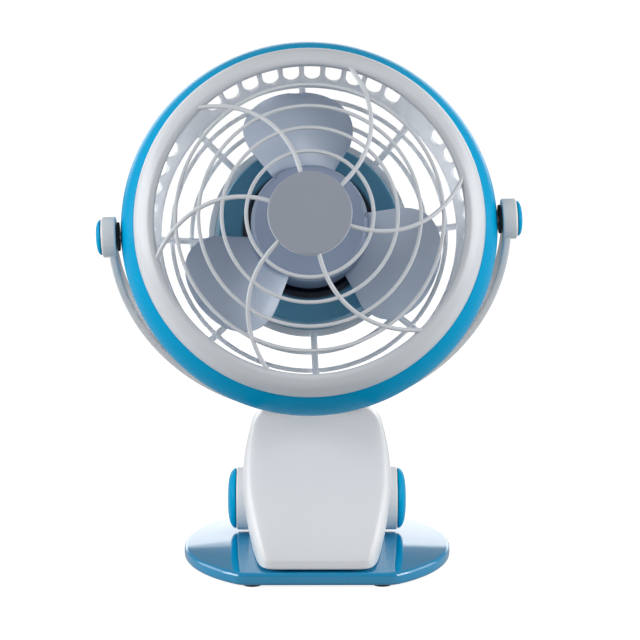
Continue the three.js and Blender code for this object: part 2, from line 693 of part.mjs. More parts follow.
function bodyShell() {
  const form = bodyForm();
  const bosses = [-1, 1].map((side) =>
    solid(
      turnedAlongX(rod(BOSS_RADIUS, BODY_HALF_WIDTH - 3, BOSS_REACH), side, 24)
        .translate(0, HINGE_Y, HINGE_Z)
    )
  );
  const hollow = cut(
    join(form, ...bosses),
    bodyCavity(),
    undersideOpening(0, BODY_BOTTOM - 1, 12)
  );
  const seatBoss = onSeat(rod(SEAT_BOSS_RADIUS, -SEAT_BOSS_DEPTH, SEAT_RECESS)).intersect(form);
  const columns = [-1, 1].map((side) =>
    screwColumn(side, FLOOR_COLUMN_RADIUS, SCREW_BOSS_TOP + SEAT_GAP, BODY_TOP).intersect(form)
  );
  const posts = [-1, 1].map((side) => boardPost(side, form));
  return cut(
    join(hollow, seatBoss, ...columns, ...posts),
    onSeat(rod(FOOT_STEM_RADIUS + SEAT_GAP, 0, SEAT_RECESS + STRAP_THICKNESS)),
    onSeat(rod(SWIVEL_RADIUS + SEAT_GAP, -SEAT_BOSS_DEPTH - 1, 1)),
    onSeat(rod(SWIVEL_WASHER_RADIUS + SEAT_GAP, -SEAT_BOSS_DEPTH - 8, -SEAT_BOSS_DEPTH)),
    hingeBore(PIN_RADIUS + SEAT_GAP, BOSS_REACH + 1),
    ...[-1, 1].map((side) => floorScrewHole(side, FLOOR_SCREW_LENGTH + FLOOR_HEAD_SINK + 1)),
    padRecess(),
    socketHole(),
    buttonBore()
  );
}

// The closing plate under the front of the body, with cradles for the cell.
function bodyFloor() {
  const reach = OPENING_FRONT + 1;
  const front = solid(box([-reach, -reach, 0], [reach, FLOOR_BACK, BODY_TOP]));
  const panel = undersideOpening(SEAT_GAP, BODY_BOTTOM, FLOOR_THICKNESS).intersect(front);
  const cradles = [-1, 1].map((side) =>
    solid(
      box(
        [side * CELL_LENGTH / 3 - 1, CELL_Y - CELL_RADIUS * 0.8, BODY_BOTTOM + 1],
        [side * CELL_LENGTH / 3 + 1, CELL_Y + CELL_RADIUS * 0.8, CELL_Z - CELL_RADIUS * 0.5]
      )
    )
  );
  const bosses = [-1, 1].map((side) =>
    screwColumn(side, FLOOR_BOSS_RADIUS, BODY_BOTTOM + 1, SCREW_BOSS_TOP)
  );
  const cellRoom = turnedAlongX(rod(CELL_RADIUS + SEAT_GAP, -CELL_LENGTH, CELL_LENGTH), 1);
  return cut(
    join(panel, ...cradles, ...bosses),
    solid(cellRoom.translate(0, CELL_Y, CELL_Z)),
    ...[-1, 1].flatMap((side) => [
      floorScrewHole(side, FLOOR_BOSS_HEIGHT + 1),
      screwColumn(side, FLOOR_HEAD_RADIUS + SEAT_GAP, BODY_BOTTOM - 1, BODY_BOTTOM + FLOOR_HEAD_SINK),
    ]),
    padRecess()
  );
}

function floorScrew(side) {
  const seat = BODY_BOTTOM + FLOOR_HEAD_SINK - SEAT_GAP;
  const end = seat + FLOOR_SCREW_LENGTH;
  const profile = [
    [0, seat - FLOOR_HEAD_HEIGHT], [FLOOR_HEAD_RADIUS, seat - FLOOR_HEAD_HEIGHT], [FLOOR_HEAD_RADIUS, seat],
    [FLOOR_SCREW_RADIUS, seat], [FLOOR_SCREW_RADIUS, end - SCREW_POINT], [0, end],
  ];
  return solid(turnedAlongZ(profile, SCREW_STEPS).translate(side * FLOOR_SCREW_X, FLOOR_SCREW_Y, 0));
}

function lipPad() {
  const bottom = PLATE_TOP + SEAT_GAP;
  const top = BODY_BOTTOM + PAD_SINK;
  return solid(box([-PAD_HALF_WIDTH, -PAD_FRONT, bottom], [PAD_HALF_WIDTH, -PAD_BACK, top]));
}

function hingeCap(side) {
  const foot = BOSS_REACH + SEAT_GAP;
  const profile = [0, 25, 50, 72, 90].map((degrees) => [
    HINGE_CAP_RADIUS * Math.cos(toRadians(degrees)) ** 0.6,
    foot + HINGE_CAP_HEIGHT * Math.sin(toRadians(degrees)),
  ]);
  profile[profile.length - 1][0] = 0;
  const dome = turnedAlongX([[0, foot], ...profile], side, 24);
  return solid(dome.translate(0, HINGE_Y, HINGE_Z));
}

function batteryCell() {
  const half = CELL_LENGTH / 2;
  const nub = 1;
  const profile = [
    [0, -half], [CELL_RADIUS, -half], [CELL_RADIUS, half - nub], [3, half - nub], [3, half], [0, half],
  ];
  return solid(turnedAlongX(profile, 1).translate(0, CELL_Y, CELL_Z));
}

function controlBoard() {
  const low = [-BOARD_HALF_WIDTH, BOARD_Y, BOARD_Z - BOARD_HEIGHT / 2];
  return solid(box(low, [BOARD_HALF_WIDTH, BOARD_Y + BOARD_THICKNESS, BOARD_Z + BOARD_HEIGHT / 2]));
}

// A charging socket: a flat tube with a tongue, open to the rear.
function chargeSocket() {
  const half = [SOCKET_WIDTH / 2, SOCKET_HEIGHT / 2];
  const low = [-half[0], BOARD_FACE, SOCKET_Z - half[1]];
  const shell = solid(box(low, [half[0], SOCKET_BACK, SOCKET_Z + half[1]]));
  const wall = 0.4;
  const room = solid(
    box(
      [-half[0] + wall, BOARD_FACE + 1, SOCKET_Z - half[1] + wall],
      [half[0] - wall, SOCKET_BACK + 1, SOCKET_Z + half[1] - wall]
    )
  );
  const tongue = solid(
    box([-3.3, BOARD_FACE + 0.5, SOCKET_Z - 0.35], [3.3, SOCKET_BACK - 1, SOCKET_Z + 0.35])
  );
  return join(cut(shell, room), tongue);
}

function tactSwitch() {
  const half = SWITCH_SIDE / 2;
  return solid(
    box([-half, BOARD_FACE, BUTTON_Z - half], [half, BOARD_FACE + SWITCH_THICKNESS, BUTTON_Z + half])
  );
}

function powerButton() {
  const flangeFront = BOARD_FACE + SWITCH_THICKNESS + SEAT_GAP + BUTTON_TRAVEL;
  const edge = 0.6;
  const profile = [
    [0, flangeFront], [BUTTON_FLANGE, flangeFront], [BUTTON_FLANGE, flangeFront + 0.9],
    [BUTTON_RADIUS, flangeFront + 0.9], [BUTTON_RADIUS, BUTTON_BACK - edge],
    [BUTTON_RADIUS - edge, BUTTON_BACK], [0, BUTTON_BACK],
  ];
  return solid(turned(profile, SMALL_STEPS).translate(0, 0, BUTTON_Z));
}

// ================================================================= yoke
function strap() {
  const outline = [
    ...arcPoints(0, 0, STRAP_OUTER, 180, 360, 26),
    ...arcPoints(0, 0, STRAP_INNER, 360, 180, 26),
  ];
  const flat = plate(outline, -STRAP_WIDTH / 2, STRAP_WIDTH, STRAP_EDGE, 1);
  return solid(flat.rotateX(Math.PI / 2));
}

function yokeBracket() {
  const bosses = [-1, 1].map((side) => {
    const edge = 0.7;
    const profile = [
      [0, BOSS_INNER], [PIVOT_BOSS_RADIUS, BOSS_INNER], [PIVOT_BOSS_RADIUS, PIVOT_BOSS_REACH - edge],
      [PIVOT_BOSS_RADIUS - edge, PIVOT_BOSS_REACH], [0, PIVOT_BOSS_REACH],
    ];
    return solid(turnedAlongX(profile, side, 20));
  });
  const foot = solid(turnedAlongZ(rod(FOOT_STEM_RADIUS, -STEM_END, -STRAP_INNER - 1)));
  const bore = rod(PIVOT_SCREW_RADIUS + SEAT_GAP, BOSS_INNER - 1, PIVOT_BOSS_REACH + 1);
  const pocket = rod(COUNTERBORE_RADIUS, PIVOT_BOSS_REACH - COUNTERBORE_DEPTH, PIVOT_BOSS_REACH + 1);
  const holes = [-1, 1].flatMap((side) => [
    solid(turnedAlongX(bore, side, SCREW_STEPS)),
    solid(turnedAlongX(pocket, side)),
  ]);
  const swivelRod = rod(SWIVEL_RADIUS + SEAT_GAP, -STEM_END - 1, -STRAP_INNER - SWIVEL_CAP);
  const swivelBore = solid(turnedAlongZ(swivelRod));
  return cut(join(strap(), ...bosses, foot), ...holes, swivelBore);
}

function pivotCap(side) {
  const foot = PIVOT_BOSS_REACH + SEAT_GAP;
  const profile = [0, 30, 60, 90].map((degrees) => [
    PIVOT_CAP_RADIUS * Math.cos(toRadians(degrees)) ** 0.6,
    foot + PIVOT_CAP_HEIGHT * Math.sin(toRadians(degrees)),
  ]);
  profile[profile.length - 1][0] = 0;
  return solid(turnedAlongX([[0, foot], ...profile], side, 16));
}

function pivotWasher(side) {
  const [inner, outer] = [RIM_RADIUS + SEAT_GAP, BOSS_INNER - SEAT_GAP];
  return solid(turnedAlongX(tube(PIVOT_SCREW_RADIUS + SEAT_GAP, WASHER_RADIUS, inner, outer), side));
}

function pivotScrew(side) {
  const tip = RIM_RADIUS - PIVOT_SCREW_REACH;
  const seat = PIVOT_BOSS_REACH - COUNTERBORE_DEPTH + SEAT_GAP;
  const top = seat + PIVOT_HEAD_HEIGHT;
  const profile = [
    [0, tip], [PIVOT_SCREW_RADIUS, tip + SCREW_POINT], [PIVOT_SCREW_RADIUS, seat], [PIVOT_HEAD_RADIUS, seat],
    [PIVOT_HEAD_RADIUS, top - SCREW_POINT], [PIVOT_HEAD_RADIUS - SCREW_POINT, top], [0, top],
  ];
  return solid(turnedAlongX(profile, side, SMALL_STEPS));
}

// From the seat's frame: the washer and the screw's head press on the boss from below.
function swivelWasher() {
  const top = -SEAT_DISTANCE - SEAT_BOSS_DEPTH - SEAT_GAP;
  const ring = tube(SWIVEL_RADIUS + SEAT_GAP, SWIVEL_WASHER_RADIUS, top - SWIVEL_WASHER_THICKNESS, top);
  return solid(turnedAlongZ(ring));
}

function swivelScrew() {
  const seat = -SEAT_DISTANCE - SEAT_BOSS_DEPTH - SWIVEL_WASHER_THICKNESS - 2 * SEAT_GAP;
  const bottom = seat - SWIVEL_HEAD_HEIGHT;
  const top = -STRAP_INNER - SWIVEL_CAP - SEAT_GAP;
  const profile = [
    [0, bottom], [SWIVEL_HEAD_RADIUS, bottom], [SWIVEL_HEAD_RADIUS, seat], [SWIVEL_RADIUS, seat],
    [SWIVEL_RADIUS, top], [0, top],
  ];
  return solid(turnedAlongZ(profile));
}

// ================================================================= head
function diagonals() {
  return [45, 135, 225, 315];
}

function rimBand() {
  const start = BEZEL_RADIUS + SEAT_GAP;
  const outer = RIM_CURVE.map(([out, back]) => [
    THREE.MathUtils.lerp(start, RIM_RADIUS, out),
    THREE.MathUtils.lerp(RIM_FRONT, RIM_BACK, back),
  ]);
  const inner = outer.map(([radius, y]) => [radius - RIM_WALL, y]).reverse();
  const ring = solid(turned([...outer, ...inner]));
  const room = 2 * RIM_BOSS_RADIUS;
  const behindRim = solid(box([-RIM_RADIUS, RIM_BACK, -room], [RIM_RADIUS, RIM_BACK + room, room]));
  const boss = rod(RIM_BOSS_RADIUS, RIM_RADIUS - RIM_BOSS_DEPTH, RIM_RADIUS - RIM_WALL / 2);
  const bosses = [-1, 1].map((side) => solid(turnedAlongX(boss, side)).subtract(behindRim));
  const lugs = diagonals().map((angle) => {
    const place = clockPoint(HOUSING_SCREW_CIRCLE, angle, 0);
    const lug = turned(rod(HOUSING_BOSS_RADIUS, -HOUSING_LUG, RIM_BACK), SMALL_STEPS);
    return solid(lug.translate(...place.toArray()));
  });
  const bore = rod(PIVOT_SCREW_RADIUS + SEAT_GAP, RIM_RADIUS - PIVOT_SCREW_REACH - SEAT_GAP, RIM_RADIUS + 1);
  const bores = [-1, 1].map((side) => solid(turnedAlongX(bore, side, SCREW_STEPS)));
  const screwHoles = diagonals().map((angle) => {
    const place = clockPoint(HOUSING_SCREW_CIRCLE, angle, 0);
    const hole = turned(rod(HOUSING_SCREW_RADIUS + SEAT_GAP, 1 - HOUSING_LUG, RIM_BACK + 1), SCREW_STEPS);
    return solid(hole.translate(...place.toArray()));
  });
  return cut(join(ring, ...bosses, ...lugs), ...bores, ...screwHoles);
}

// Front face of the domed grille at a radius.
function grilleFace(radius) {
  return GRILLE_FRONT + GRILLE_CROWN * (radius / BEZEL_OPENING) ** 2;
}

function bezel() {
  const skirt = BEZEL_RADIUS - 2;
  return solid(
    turned([
      [BEZEL_RADIUS, RIM_FRONT - SEAT_GAP],
      [BEZEL_RADIUS - 0.5, RIM_FRONT - 4.4],
      [BEZEL_RADIUS - 2.8, RIM_FRONT - 8.6],
      [BEZEL_OPENING + 1.8, BEZEL_FRONT],
      [BEZEL_OPENING, BEZEL_FRONT + 0.6],
      [BEZEL_OPENING, BEZEL_FRONT + 4.6],
      [BEZEL_OPENING + BEZEL_WALL, BEZEL_FRONT + 4.6],
      [skirt - 1.6, RIM_FRONT - 0.5],
      [skirt - 1.6, RIM_FRONT + BEZEL_SKIRT],
      [skirt, RIM_FRONT + BEZEL_SKIRT],
      [skirt, RIM_FRONT - SEAT_GAP],
    ])
  );
}

function spiralSpoke(turn) {
  const steps = 6;
  const from = GRILLE_DISC_RADIUS - 1;
  const to = BEZEL_OPENING + 1.4;
  const path = Array.from({ length: steps + 1 }, (_, i) => {
    const radius = from + ((to - from) * i) / steps;
    const share = Math.max(radius - GRILLE_DISC_RADIUS, 0) / (BEZEL_OPENING - GRILLE_DISC_RADIUS);
    const angle = SPOKE_START + SPOKE_SWEEP * share ** SPOKE_POWER;
    return clockPoint(radius, turn + angle, grilleFace(radius));
  });
  return solid(rib(path, SPOKE_WIDTH - RIB_DRAFT, SPOKE_WIDTH, GRILLE_RIB_DEPTH));
}

function grilleRing(radius) {
  const front = grilleFace(radius) + 0.2;
  const back = front + GRILLE_RIB_DEPTH - 0.4;
  const narrow = (GRILLE_RIB_WIDTH - RIB_DRAFT) / 2;
  const wide = GRILLE_RIB_WIDTH / 2;
  return solid(
    turned(
      [[radius - narrow, front], [radius + narrow, front], [radius + wide, back], [radius - wide, back]],
      RIB_STEPS
    )
  );
}

// The dish in the middle of the grille, which holds the bare disc.
function grilleDish() {
  const floor = GRILLE_FRONT + BADGE_DEPTH;
  return solid(
    turned([
      [0, floor],
      [BADGE_RADIUS + SEAT_GAP, floor],
      [BADGE_RADIUS + DISH_LAND, GRILLE_FRONT],
      [GRILLE_DISC_RADIUS, GRILLE_FRONT + DISH_LAND],
      [GRILLE_DISC_RADIUS, GRILLE_FRONT + DISH_DEPTH],
      [0, GRILLE_FRONT + DISH_DEPTH],
    ], MOTOR_STEPS)
  );
}

function frontGrille() {
  const turns = Array.from({ length: SPOKES }, (_, i) => (360 / SPOKES) * i);
  const rings = GRILLE_RINGS.map((share) => grilleRing(share * BEZEL_OPENING));
  return join(bezel(), grilleDish(), ...rings, ...turns.map(spiralSpoke));
}

function grilleDisc() {
  const back = GRILLE_FRONT + BADGE_DEPTH - SEAT_GAP;
  const crown = 0.4;
  const profile = [
    [0, back], [BADGE_RADIUS, back], [BADGE_RADIUS, back - BADGE_THICKNESS],
    [BADGE_RADIUS * 0.6, back - BADGE_THICKNESS - crown * 0.7], [0, back - BADGE_THICKNESS - crown],
  ];
  return solid(turned(profile, MOTOR_STEPS));
}

// Rear face of the ribs behind the motor, which fall away towards the shoulder.
function bowlFace(radius) {
  const share = Math.max(radius - HUB_FLANGE_OUTER + 3, 0) / (BOWL_SHOULDER - HUB_FLANGE_OUTER + 3);
  return BOWL_DOME_Y - (BOWL_DOME_Y - BOWL_SHOULDER_Y) * share ** 1.7;
}

function bowlWall() {
  const shoulderIn = BOWL_SHOULDER - 1.6;
  return solid(
    turned([
      [BOWL_RADIUS, BOWL_FRONT],
      [BOWL_RADIUS - 0.6, BOWL_FRONT + 1.2],
      [BOWL_SHOULDER, BOWL_SHOULDER_Y],
      [shoulderIn, BOWL_SHOULDER_Y + 1],
      [shoulderIn, BOWL_SHOULDER_Y - 1.6],
      [BOWL_RADIUS - 3.4, BOWL_FRONT],
    ], SLOT_POSITIONS)
  );
}

// A slot through the sloping wall, open in plan, with a round rear end.
function bowlSlot(turn) {
  const half = SLOT_WIDTH / 2;
  const outline = [
    new THREE.Vector2(-half, SLOT_FRONT),
    new THREE.Vector2(half, SLOT_FRONT),
    ...arcPoints(0, SLOT_REAR - half, half, 0, 180, 3),
  ];
  const prism = plate(outline, BOWL_SHOULDER - 6, BOWL_RADIUS - BOWL_SHOULDER + 8);
  return solid(prism.rotateY(toRadians(turn)));
}

function slotTurns() {
  const pitch = 360 / SLOT_POSITIONS;
  const span = (SLOTS_PER_QUARTER - 1) / 2;
  return [0, 90, 180, 270].flatMap((quarter) =>
    Array.from({ length: SLOTS_PER_QUARTER }, (_, i) => quarter + (i - span) * pitch)
  );
}

function bowlRing(radius) {
  const back = bowlFace(radius);
  const front = back - BOWL_RIB_DEPTH + 0.4;
  const narrow = (BOWL_RIB_WIDTH - RIB_DRAFT) / 2;
  const wide = BOWL_RIB_WIDTH / 2;
  return solid(
    turned(
      [[radius - wide, front], [radius + wide, front], [radius + narrow, back], [radius - narrow, back]],
      RIB_STEPS
    )
  );
}

function bowlSpoke(turn) {
  const steps = 3;
  const from = HUB_FLANGE_OUTER - 1.4;
  const path = Array.from({ length: steps + 1 }, (_, i) => {
    const radius = from + ((BOWL_SHOULDER - 0.6 - from) * i) / steps;
    return clockPoint(radius, turn, bowlFace(radius) - BOWL_RIB_DEPTH + 0.2);
  });
  return solid(rib(path, BOWL_SPOKE_WIDTH, BOWL_SPOKE_WIDTH - RIB_DRAFT, BOWL_RIB_DEPTH));
}

function rearBowl() {
  const flange = solid(
    turned(tube(HUB_FLANGE_INNER, HUB_FLANGE_OUTER, FLANGE_FRONT, BOWL_DOME_Y), RIB_STEPS)
  );
  const bosses = diagonals().map((angle) => {
    const boss = turned(rod(HOUSING_BOSS_RADIUS, BOWL_FRONT, HOUSING_BOSS_BACK), SMALL_STEPS);
    return solid(boss.translate(...clockPoint(HOUSING_SCREW_CIRCLE, angle).toArray()));
  });
  const bores = diagonals().flatMap((angle) => {
    const place = clockPoint(HOUSING_SCREW_CIRCLE, angle, 0).toArray();
    const bore = rod(HOUSING_SCREW_RADIUS + SEAT_GAP, BOWL_FRONT - 1, HOUSING_BOSS_BACK + 1);
    const hole = turned(bore, SCREW_STEPS);
    const floor = HOUSING_BOSS_BACK - HOUSING_POCKET_DEPTH;
    const pocket = turned(rod(HOUSING_POCKET_RADIUS, floor, HOUSING_BOSS_BACK + 4), SCREW_STEPS);
    return [solid(hole.translate(...place)), solid(pocket.translate(...place))];
  });
  const cupHoles = cupScrewTurns().map((turn) => cupScrewHole(turn));
  const turns = Array.from({ length: BOWL_SPOKES }, (_, i) => (360 / BOWL_SPOKES) * i);
  const wall = cut(bowlWall(), ...slotTurns().map(bowlSlot));
  const rings = BOWL_RINGS.map((share) =>
    bowlRing(THREE.MathUtils.lerp(HUB_FLANGE_OUTER, BOWL_SHOULDER, share))
  );
  const ribs = [...rings, ...turns.map(bowlSpoke)];
  return cut(join(wall, flange, ...bosses, ...ribs), ...bores, ...cupHoles);
}

function housingScrew(angle) {
  const seat = HOUSING_BOSS_BACK - HOUSING_POCKET_DEPTH + SEAT_GAP;
  const profile = [
    [0, HOUSING_SCREW_TIP], [HOUSING_SCREW_RADIUS, HOUSING_SCREW_TIP + SCREW_POINT],
    [HOUSING_SCREW_RADIUS, seat], [HOUSING_HEAD_RADIUS, seat], [HOUSING_HEAD_RADIUS, seat + 1],
    [0, seat + 1.3],
  ];
  const place = clockPoint(HOUSING_SCREW_CIRCLE, angle, 0);
  return solid(turned(profile, SCREW_STEPS).translate(...place.toArray()));
}

function cupScrewTurns() {
  return [30, 150, 270];
}

function cupScrewHole(turn) {
  const place = clockPoint(CUP_SCREW_CIRCLE, turn, 0).toArray();
  const depth = FLANGE_FRONT - CUP_SCREW_LENGTH;
  const hole = turned(rod(CUP_SCREW_RADIUS + SEAT_GAP, depth, BOWL_DOME_Y + 2), SCREW_STEPS);
  return solid(hole.translate(...place));
}

function cupScrew(turn) {
  const place = clockPoint(CUP_SCREW_CIRCLE, turn, 0).toArray();
  const seat = BOWL_DOME_Y + SEAT_GAP;
  const tip = seat - CUP_SCREW_LENGTH;
  const profile = [
    [0, tip], [CUP_SCREW_RADIUS, tip + SCREW_POINT], [CUP_SCREW_RADIUS, seat], [CUP_HEAD_RADIUS, seat],
    [CUP_HEAD_RADIUS, seat + 1], [0, seat + 1.2],
  ];
  return solid(turned(profile, SCREW_STEPS).translate(...place));
}

// The cup round the motor: its front closes the hub's gap, its rear seats on the flange.
function motorCup() {
  const sleeve = CAN_RADIUS + SLEEVE_FIT;
  const rib = HUB_RADIUS + 1;
  const ring = solid(
    turned([
      [BEARING_RADIUS + SEAT_GAP, CUP_FRONT],
      [rib, CUP_FRONT],
      [rib, CUP_FRONT - CUP_RIB_HEIGHT],
      [rib + CUP_RIB_WIDTH, CUP_FRONT - CUP_RIB_HEIGHT],
      [rib + CUP_RIB_WIDTH, CUP_FRONT],
      [CUP_RADIUS - 0.6, CUP_FRONT],
      [CUP_RADIUS, CUP_FRONT + 0.8],
      [CUP_FLARE, CUP_BACK],
      [CUP_FLARE - CUP_WALL, CUP_BACK],
      [CUP_RADIUS - CUP_WALL, CUP_FRONT + CUP_WALL],
      [sleeve + SLEEVE_WALL, CUP_FRONT + CUP_WALL],
      [sleeve + SLEEVE_WALL, CUP_FRONT + SLEEVE_DEPTH],
      [sleeve, CUP_FRONT + SLEEVE_DEPTH],
      [sleeve, CUP_FRONT + CUP_WALL],
      [BEARING_RADIUS + SEAT_GAP, CUP_FRONT + CUP_WALL],
    ], MOTOR_STEPS)
  );
  const bosses = cupScrewTurns().map((turn) => {
    const place = clockPoint(CUP_SCREW_CIRCLE, turn, 0).toArray();
    return solid(turned(rod(CUP_BOSS_RADIUS, CUP_FRONT + 1, CUP_BACK), SMALL_STEPS).translate(...place));
  });
  const motorHoles = [-1, 1].map((side) => {
    const bore = rod(MOTOR_SCREW_RADIUS + SEAT_GAP, CUP_FRONT - 1, CUP_FRONT + CUP_WALL + 1);
    const hole = turned(bore, SCREW_STEPS);
    return solid(hole.translate(0, 0, side * MOTOR_SCREW_CIRCLE));
  });
  return cut(join(ring, ...bosses), ...cupScrewTurns().map(cupScrewHole), ...motorHoles);
}

// The rounded cover behind the motor.
function motorCover() {
  const foot = BOWL_DOME_Y + SEAT_GAP;
  const outline = (radius, depth) =>
    [0, 25, 48, 70, 90].map((degrees) => [
      radius * Math.cos(toRadians(degrees)) ** 0.7,
      foot + depth * Math.sin(toRadians(degrees)),
    ]);
  const outer = outline(CUP_FLARE, COVER_DEPTH);
  const inner = outline(CUP_FLARE - CUP_WALL, COVER_DEPTH - CUP_WALL).reverse();
  outer[outer.length - 1][0] = 0;
  inner[0][0] = 0;
  return solid(turned([...inner, ...outer].reverse(), MOTOR_STEPS));
}

function motorCan() {
  const back = CAN_FRONT + CAN_LENGTH;
  const bore = BEARING_RADIUS + SEAT_GAP;
  const shell = solid(
    turned([
      [bore, CAN_FRONT], [CAN_RADIUS, CAN_FRONT], [CAN_RADIUS, back], [CAN_RADIUS - CAN_WALL, back],
      [CAN_RADIUS - CAN_WALL, CAN_FRONT + 1.6], [bore, CAN_FRONT + 1.6],
    ], 20)
  );
  const threads = [-1, 1].map((side) => {
    const hole = turned(rod(MOTOR_SCREW_RADIUS + SEAT_GAP, CAN_FRONT - 1, CAN_FRONT + 3), SCREW_STEPS);
    return solid(hole.translate(0, 0, side * MOTOR_SCREW_CIRCLE));
  });
  return cut(shell, ...threads);
}

function motorEndCap() {
  const back = CAN_FRONT + CAN_LENGTH;
  return solid(
    turned([
      [BEARING_RADIUS + SEAT_GAP, back - 2], [CAN_RADIUS - CAN_WALL - SEAT_GAP, back - 2],
      [CAN_RADIUS - CAN_WALL - SEAT_GAP, back + 0.8], [BEARING_RADIUS + SEAT_GAP, back + 0.8],
    ], 20)
  );
}

function bearing(front) {
  const ring = tube(SHAFT_RADIUS + SEAT_GAP, BEARING_RADIUS, front, front + BEARING_LENGTH);
  return solid(turned(ring, SMALL_STEPS));
}

function magnet(side) {
  const outer = CAN_RADIUS - CAN_WALL - SEAT_GAP;
  const outline = [
    ...arcPoints(0, 0, outer, -65, 65, 8),
    ...arcPoints(0, 0, outer - MAGNET_THICKNESS, 65, -65, 8),
  ];
  const arc = plate(outline, CAN_FRONT + MAGNET_START, MAGNET_LENGTH).rotateX(-Math.PI / 2);
  return solid(side > 0 ? arc : arc.rotateY(Math.PI));
}

function armature() {
  const front = CAN_FRONT + ARMATURE_START;
  const back = front + ARMATURE_LENGTH;
  const end = front + COMMUTATOR_END;
  const bore = SHAFT_RADIUS + SEAT_GAP;
  const chamfer = ARMATURE_LENGTH / 6;
  return solid(
    turned([
      [bore, front], [ARMATURE_RADIUS - chamfer, front], [ARMATURE_RADIUS, front + chamfer],
      [ARMATURE_RADIUS, back - chamfer], [ARMATURE_RADIUS - chamfer, back], [COMMUTATOR_RADIUS, back],
      [COMMUTATOR_RADIUS, end], [bore, end],
    ], SMALL_STEPS)
  );
}

function motorScrew(side) {
  const seat = CUP_FRONT - SEAT_GAP;
  const profile = [
    [0, seat - MOTOR_HEAD_HEIGHT], [MOTOR_HEAD_RADIUS, seat - MOTOR_HEAD_HEIGHT], [MOTOR_HEAD_RADIUS, seat],
    [MOTOR_SCREW_RADIUS, seat],
    [MOTOR_SCREW_RADIUS, CAN_FRONT + 1.4], [0, CAN_FRONT + 1.4],
  ];
  return solid(turned(profile, SCREW_STEPS).translate(0, 0, side * MOTOR_SCREW_CIRCLE));
}

// ================================================================= rotor
function hub() {
  const bore = SHAFT_RADIUS + SEAT_GAP;
  const crown = 0.6;
  return solid(
    turned([
      [0, HUB_FRONT - crown],
      [HUB_RADIUS * 0.55, HUB_FRONT - crown * 0.6],
      [HUB_RADIUS - 1.4, HUB_FRONT],
      [HUB_RADIUS, HUB_FRONT + 1.6],
      [HUB_RADIUS, HUB_BACK],
      [HUB_RADIUS - HUB_WALL, HUB_BACK],
      [HUB_RADIUS - HUB_WALL, HUB_FRONT + HUB_WALL + 0.6],
      [4, HUB_FRONT + HUB_WALL + 0.6],
      [3.4, CUP_FRONT - 6],
      [bore, CUP_FRONT - 6],
      [bore, HUB_FRONT + HUB_WALL + 1],
      [0, HUB_FRONT + HUB_WALL + 1],
    ], MOTOR_STEPS)
  );
}

// Where the edges of a blade lie at a radius, in degrees clockwise of its middle line.
function bladeEdges(radius) {
  const round = THREE.MathUtils.clamp((radius - BLADE_TIP_START) / (BLADE_TIP - BLADE_TIP_START), 0, 0.99);
  const share = (1 - round ** BLADE_TIP_POWER) ** (1 / BLADE_TIP_POWER);
  const rootward = Math.max(BLADE_TIP_START + 4 - radius, 0);
  const trailing = BLADE_CENTRE + (BLADE_TRAILING - BLADE_CENTRE) * share;
  const leading = BLADE_CENTRE + (BLADE_LEADING - 0.28 * rootward - BLADE_CENTRE) * share;
  return [trailing, leading];
}

function bladeRing(radius, turn) {
  const [trailing, leading] = bladeEdges(radius);
  const out = (radius - HUB_RADIUS) / (BLADE_TIP - HUB_RADIUS);
  const reach = THREE.MathUtils.lerp(BLADE_ROOT_DEPTH, BLADE_TIP_DEPTH, out);
  const depth = reach / (BLADE_LEADING - BLADE_TRAILING);
  const chord = Array.from({ length: 7 }, (_, i) => -1 + i / 3);
  const place = (s, offset) => {
    const angle = THREE.MathUtils.lerp(trailing, leading, (s + 1) / 2);
    const y = BLADE_MIDDLE + (angle - BLADE_CENTRE) * depth + BLADE_CAMBER * (1 - s * s);
    return clockPoint(radius, turn + angle, y + offset);
  };
  const half = (s) => THREE.MathUtils.lerp(BLADE_EDGE, BLADE_THICKNESS, 1 - s * s) / 2;
  const front = chord.map((s) => place(s, -half(s)));
  const back = chord.map((s) => place(s, half(s))).reverse();
  return [...front, ...back];
}

function blade(turn) {
  const shares = [-0.03, 0.18, 0.4, 0.6, 0.76, 0.88, 0.96, 1];
  const rings = shares.map((share) => bladeRing(THREE.MathUtils.lerp(HUB_RADIUS, BLADE_TIP, share), turn));
  return solid(loft(rings));
}

function fanBlades() {
  const turns = Array.from({ length: BLADES }, (_, i) => BLADE_TURN + (360 / BLADES) * i);
  return join(hub(), ...turns.map(blade));
}

function motorShaft() {
  const tip = HUB_FRONT + HUB_WALL + 1 + SEAT_GAP;
  return solid(turned(rod(SHAFT_RADIUS, tip, REAR_BEARING + BEARING_LENGTH + 0.6), 12));
}

// ================================================================= assembly
function piece(name, body, material) {
  const { numProp, vertProperties, triVerts } = body.getMesh();
  const geometry = new THREE.BufferGeometry();
  const values = [];
  for (let i = 0; i < vertProperties.length; i += numProp) {
    values.push(vertProperties[i], vertProperties[i + 1], vertProperties[i + 2]);
  }
  geometry.setAttribute("position", new THREE.Float32BufferAttribute(values, 3));
  geometry.setIndex(Array.from(triVerts));
  geometry.computeVertexNormals();
  const mesh = new THREE.Mesh(geometry, material);
  mesh.name = name;
  return mesh;
}

function sided(name, make, material) {
  return [
    piece(`${name}_left`, make(-1), material()),
    piece(`${name}_right`, make(1), material()),
  ];
}

function baseGroup() {
  const group = new THREE.Group();
  group.add(piece("base_plate", basePlate(), bluePlastic()));
  for (const [name, x, y] of footPlaces()) {
    group.add(piece(name, rubberFoot(x, y), blackRubber()));
  }
  group.add(piece("hinge_pin", hingePin(), steel()));
  group.add(piece("clip_spring", clipSpring(), steel()));
  return group;
}

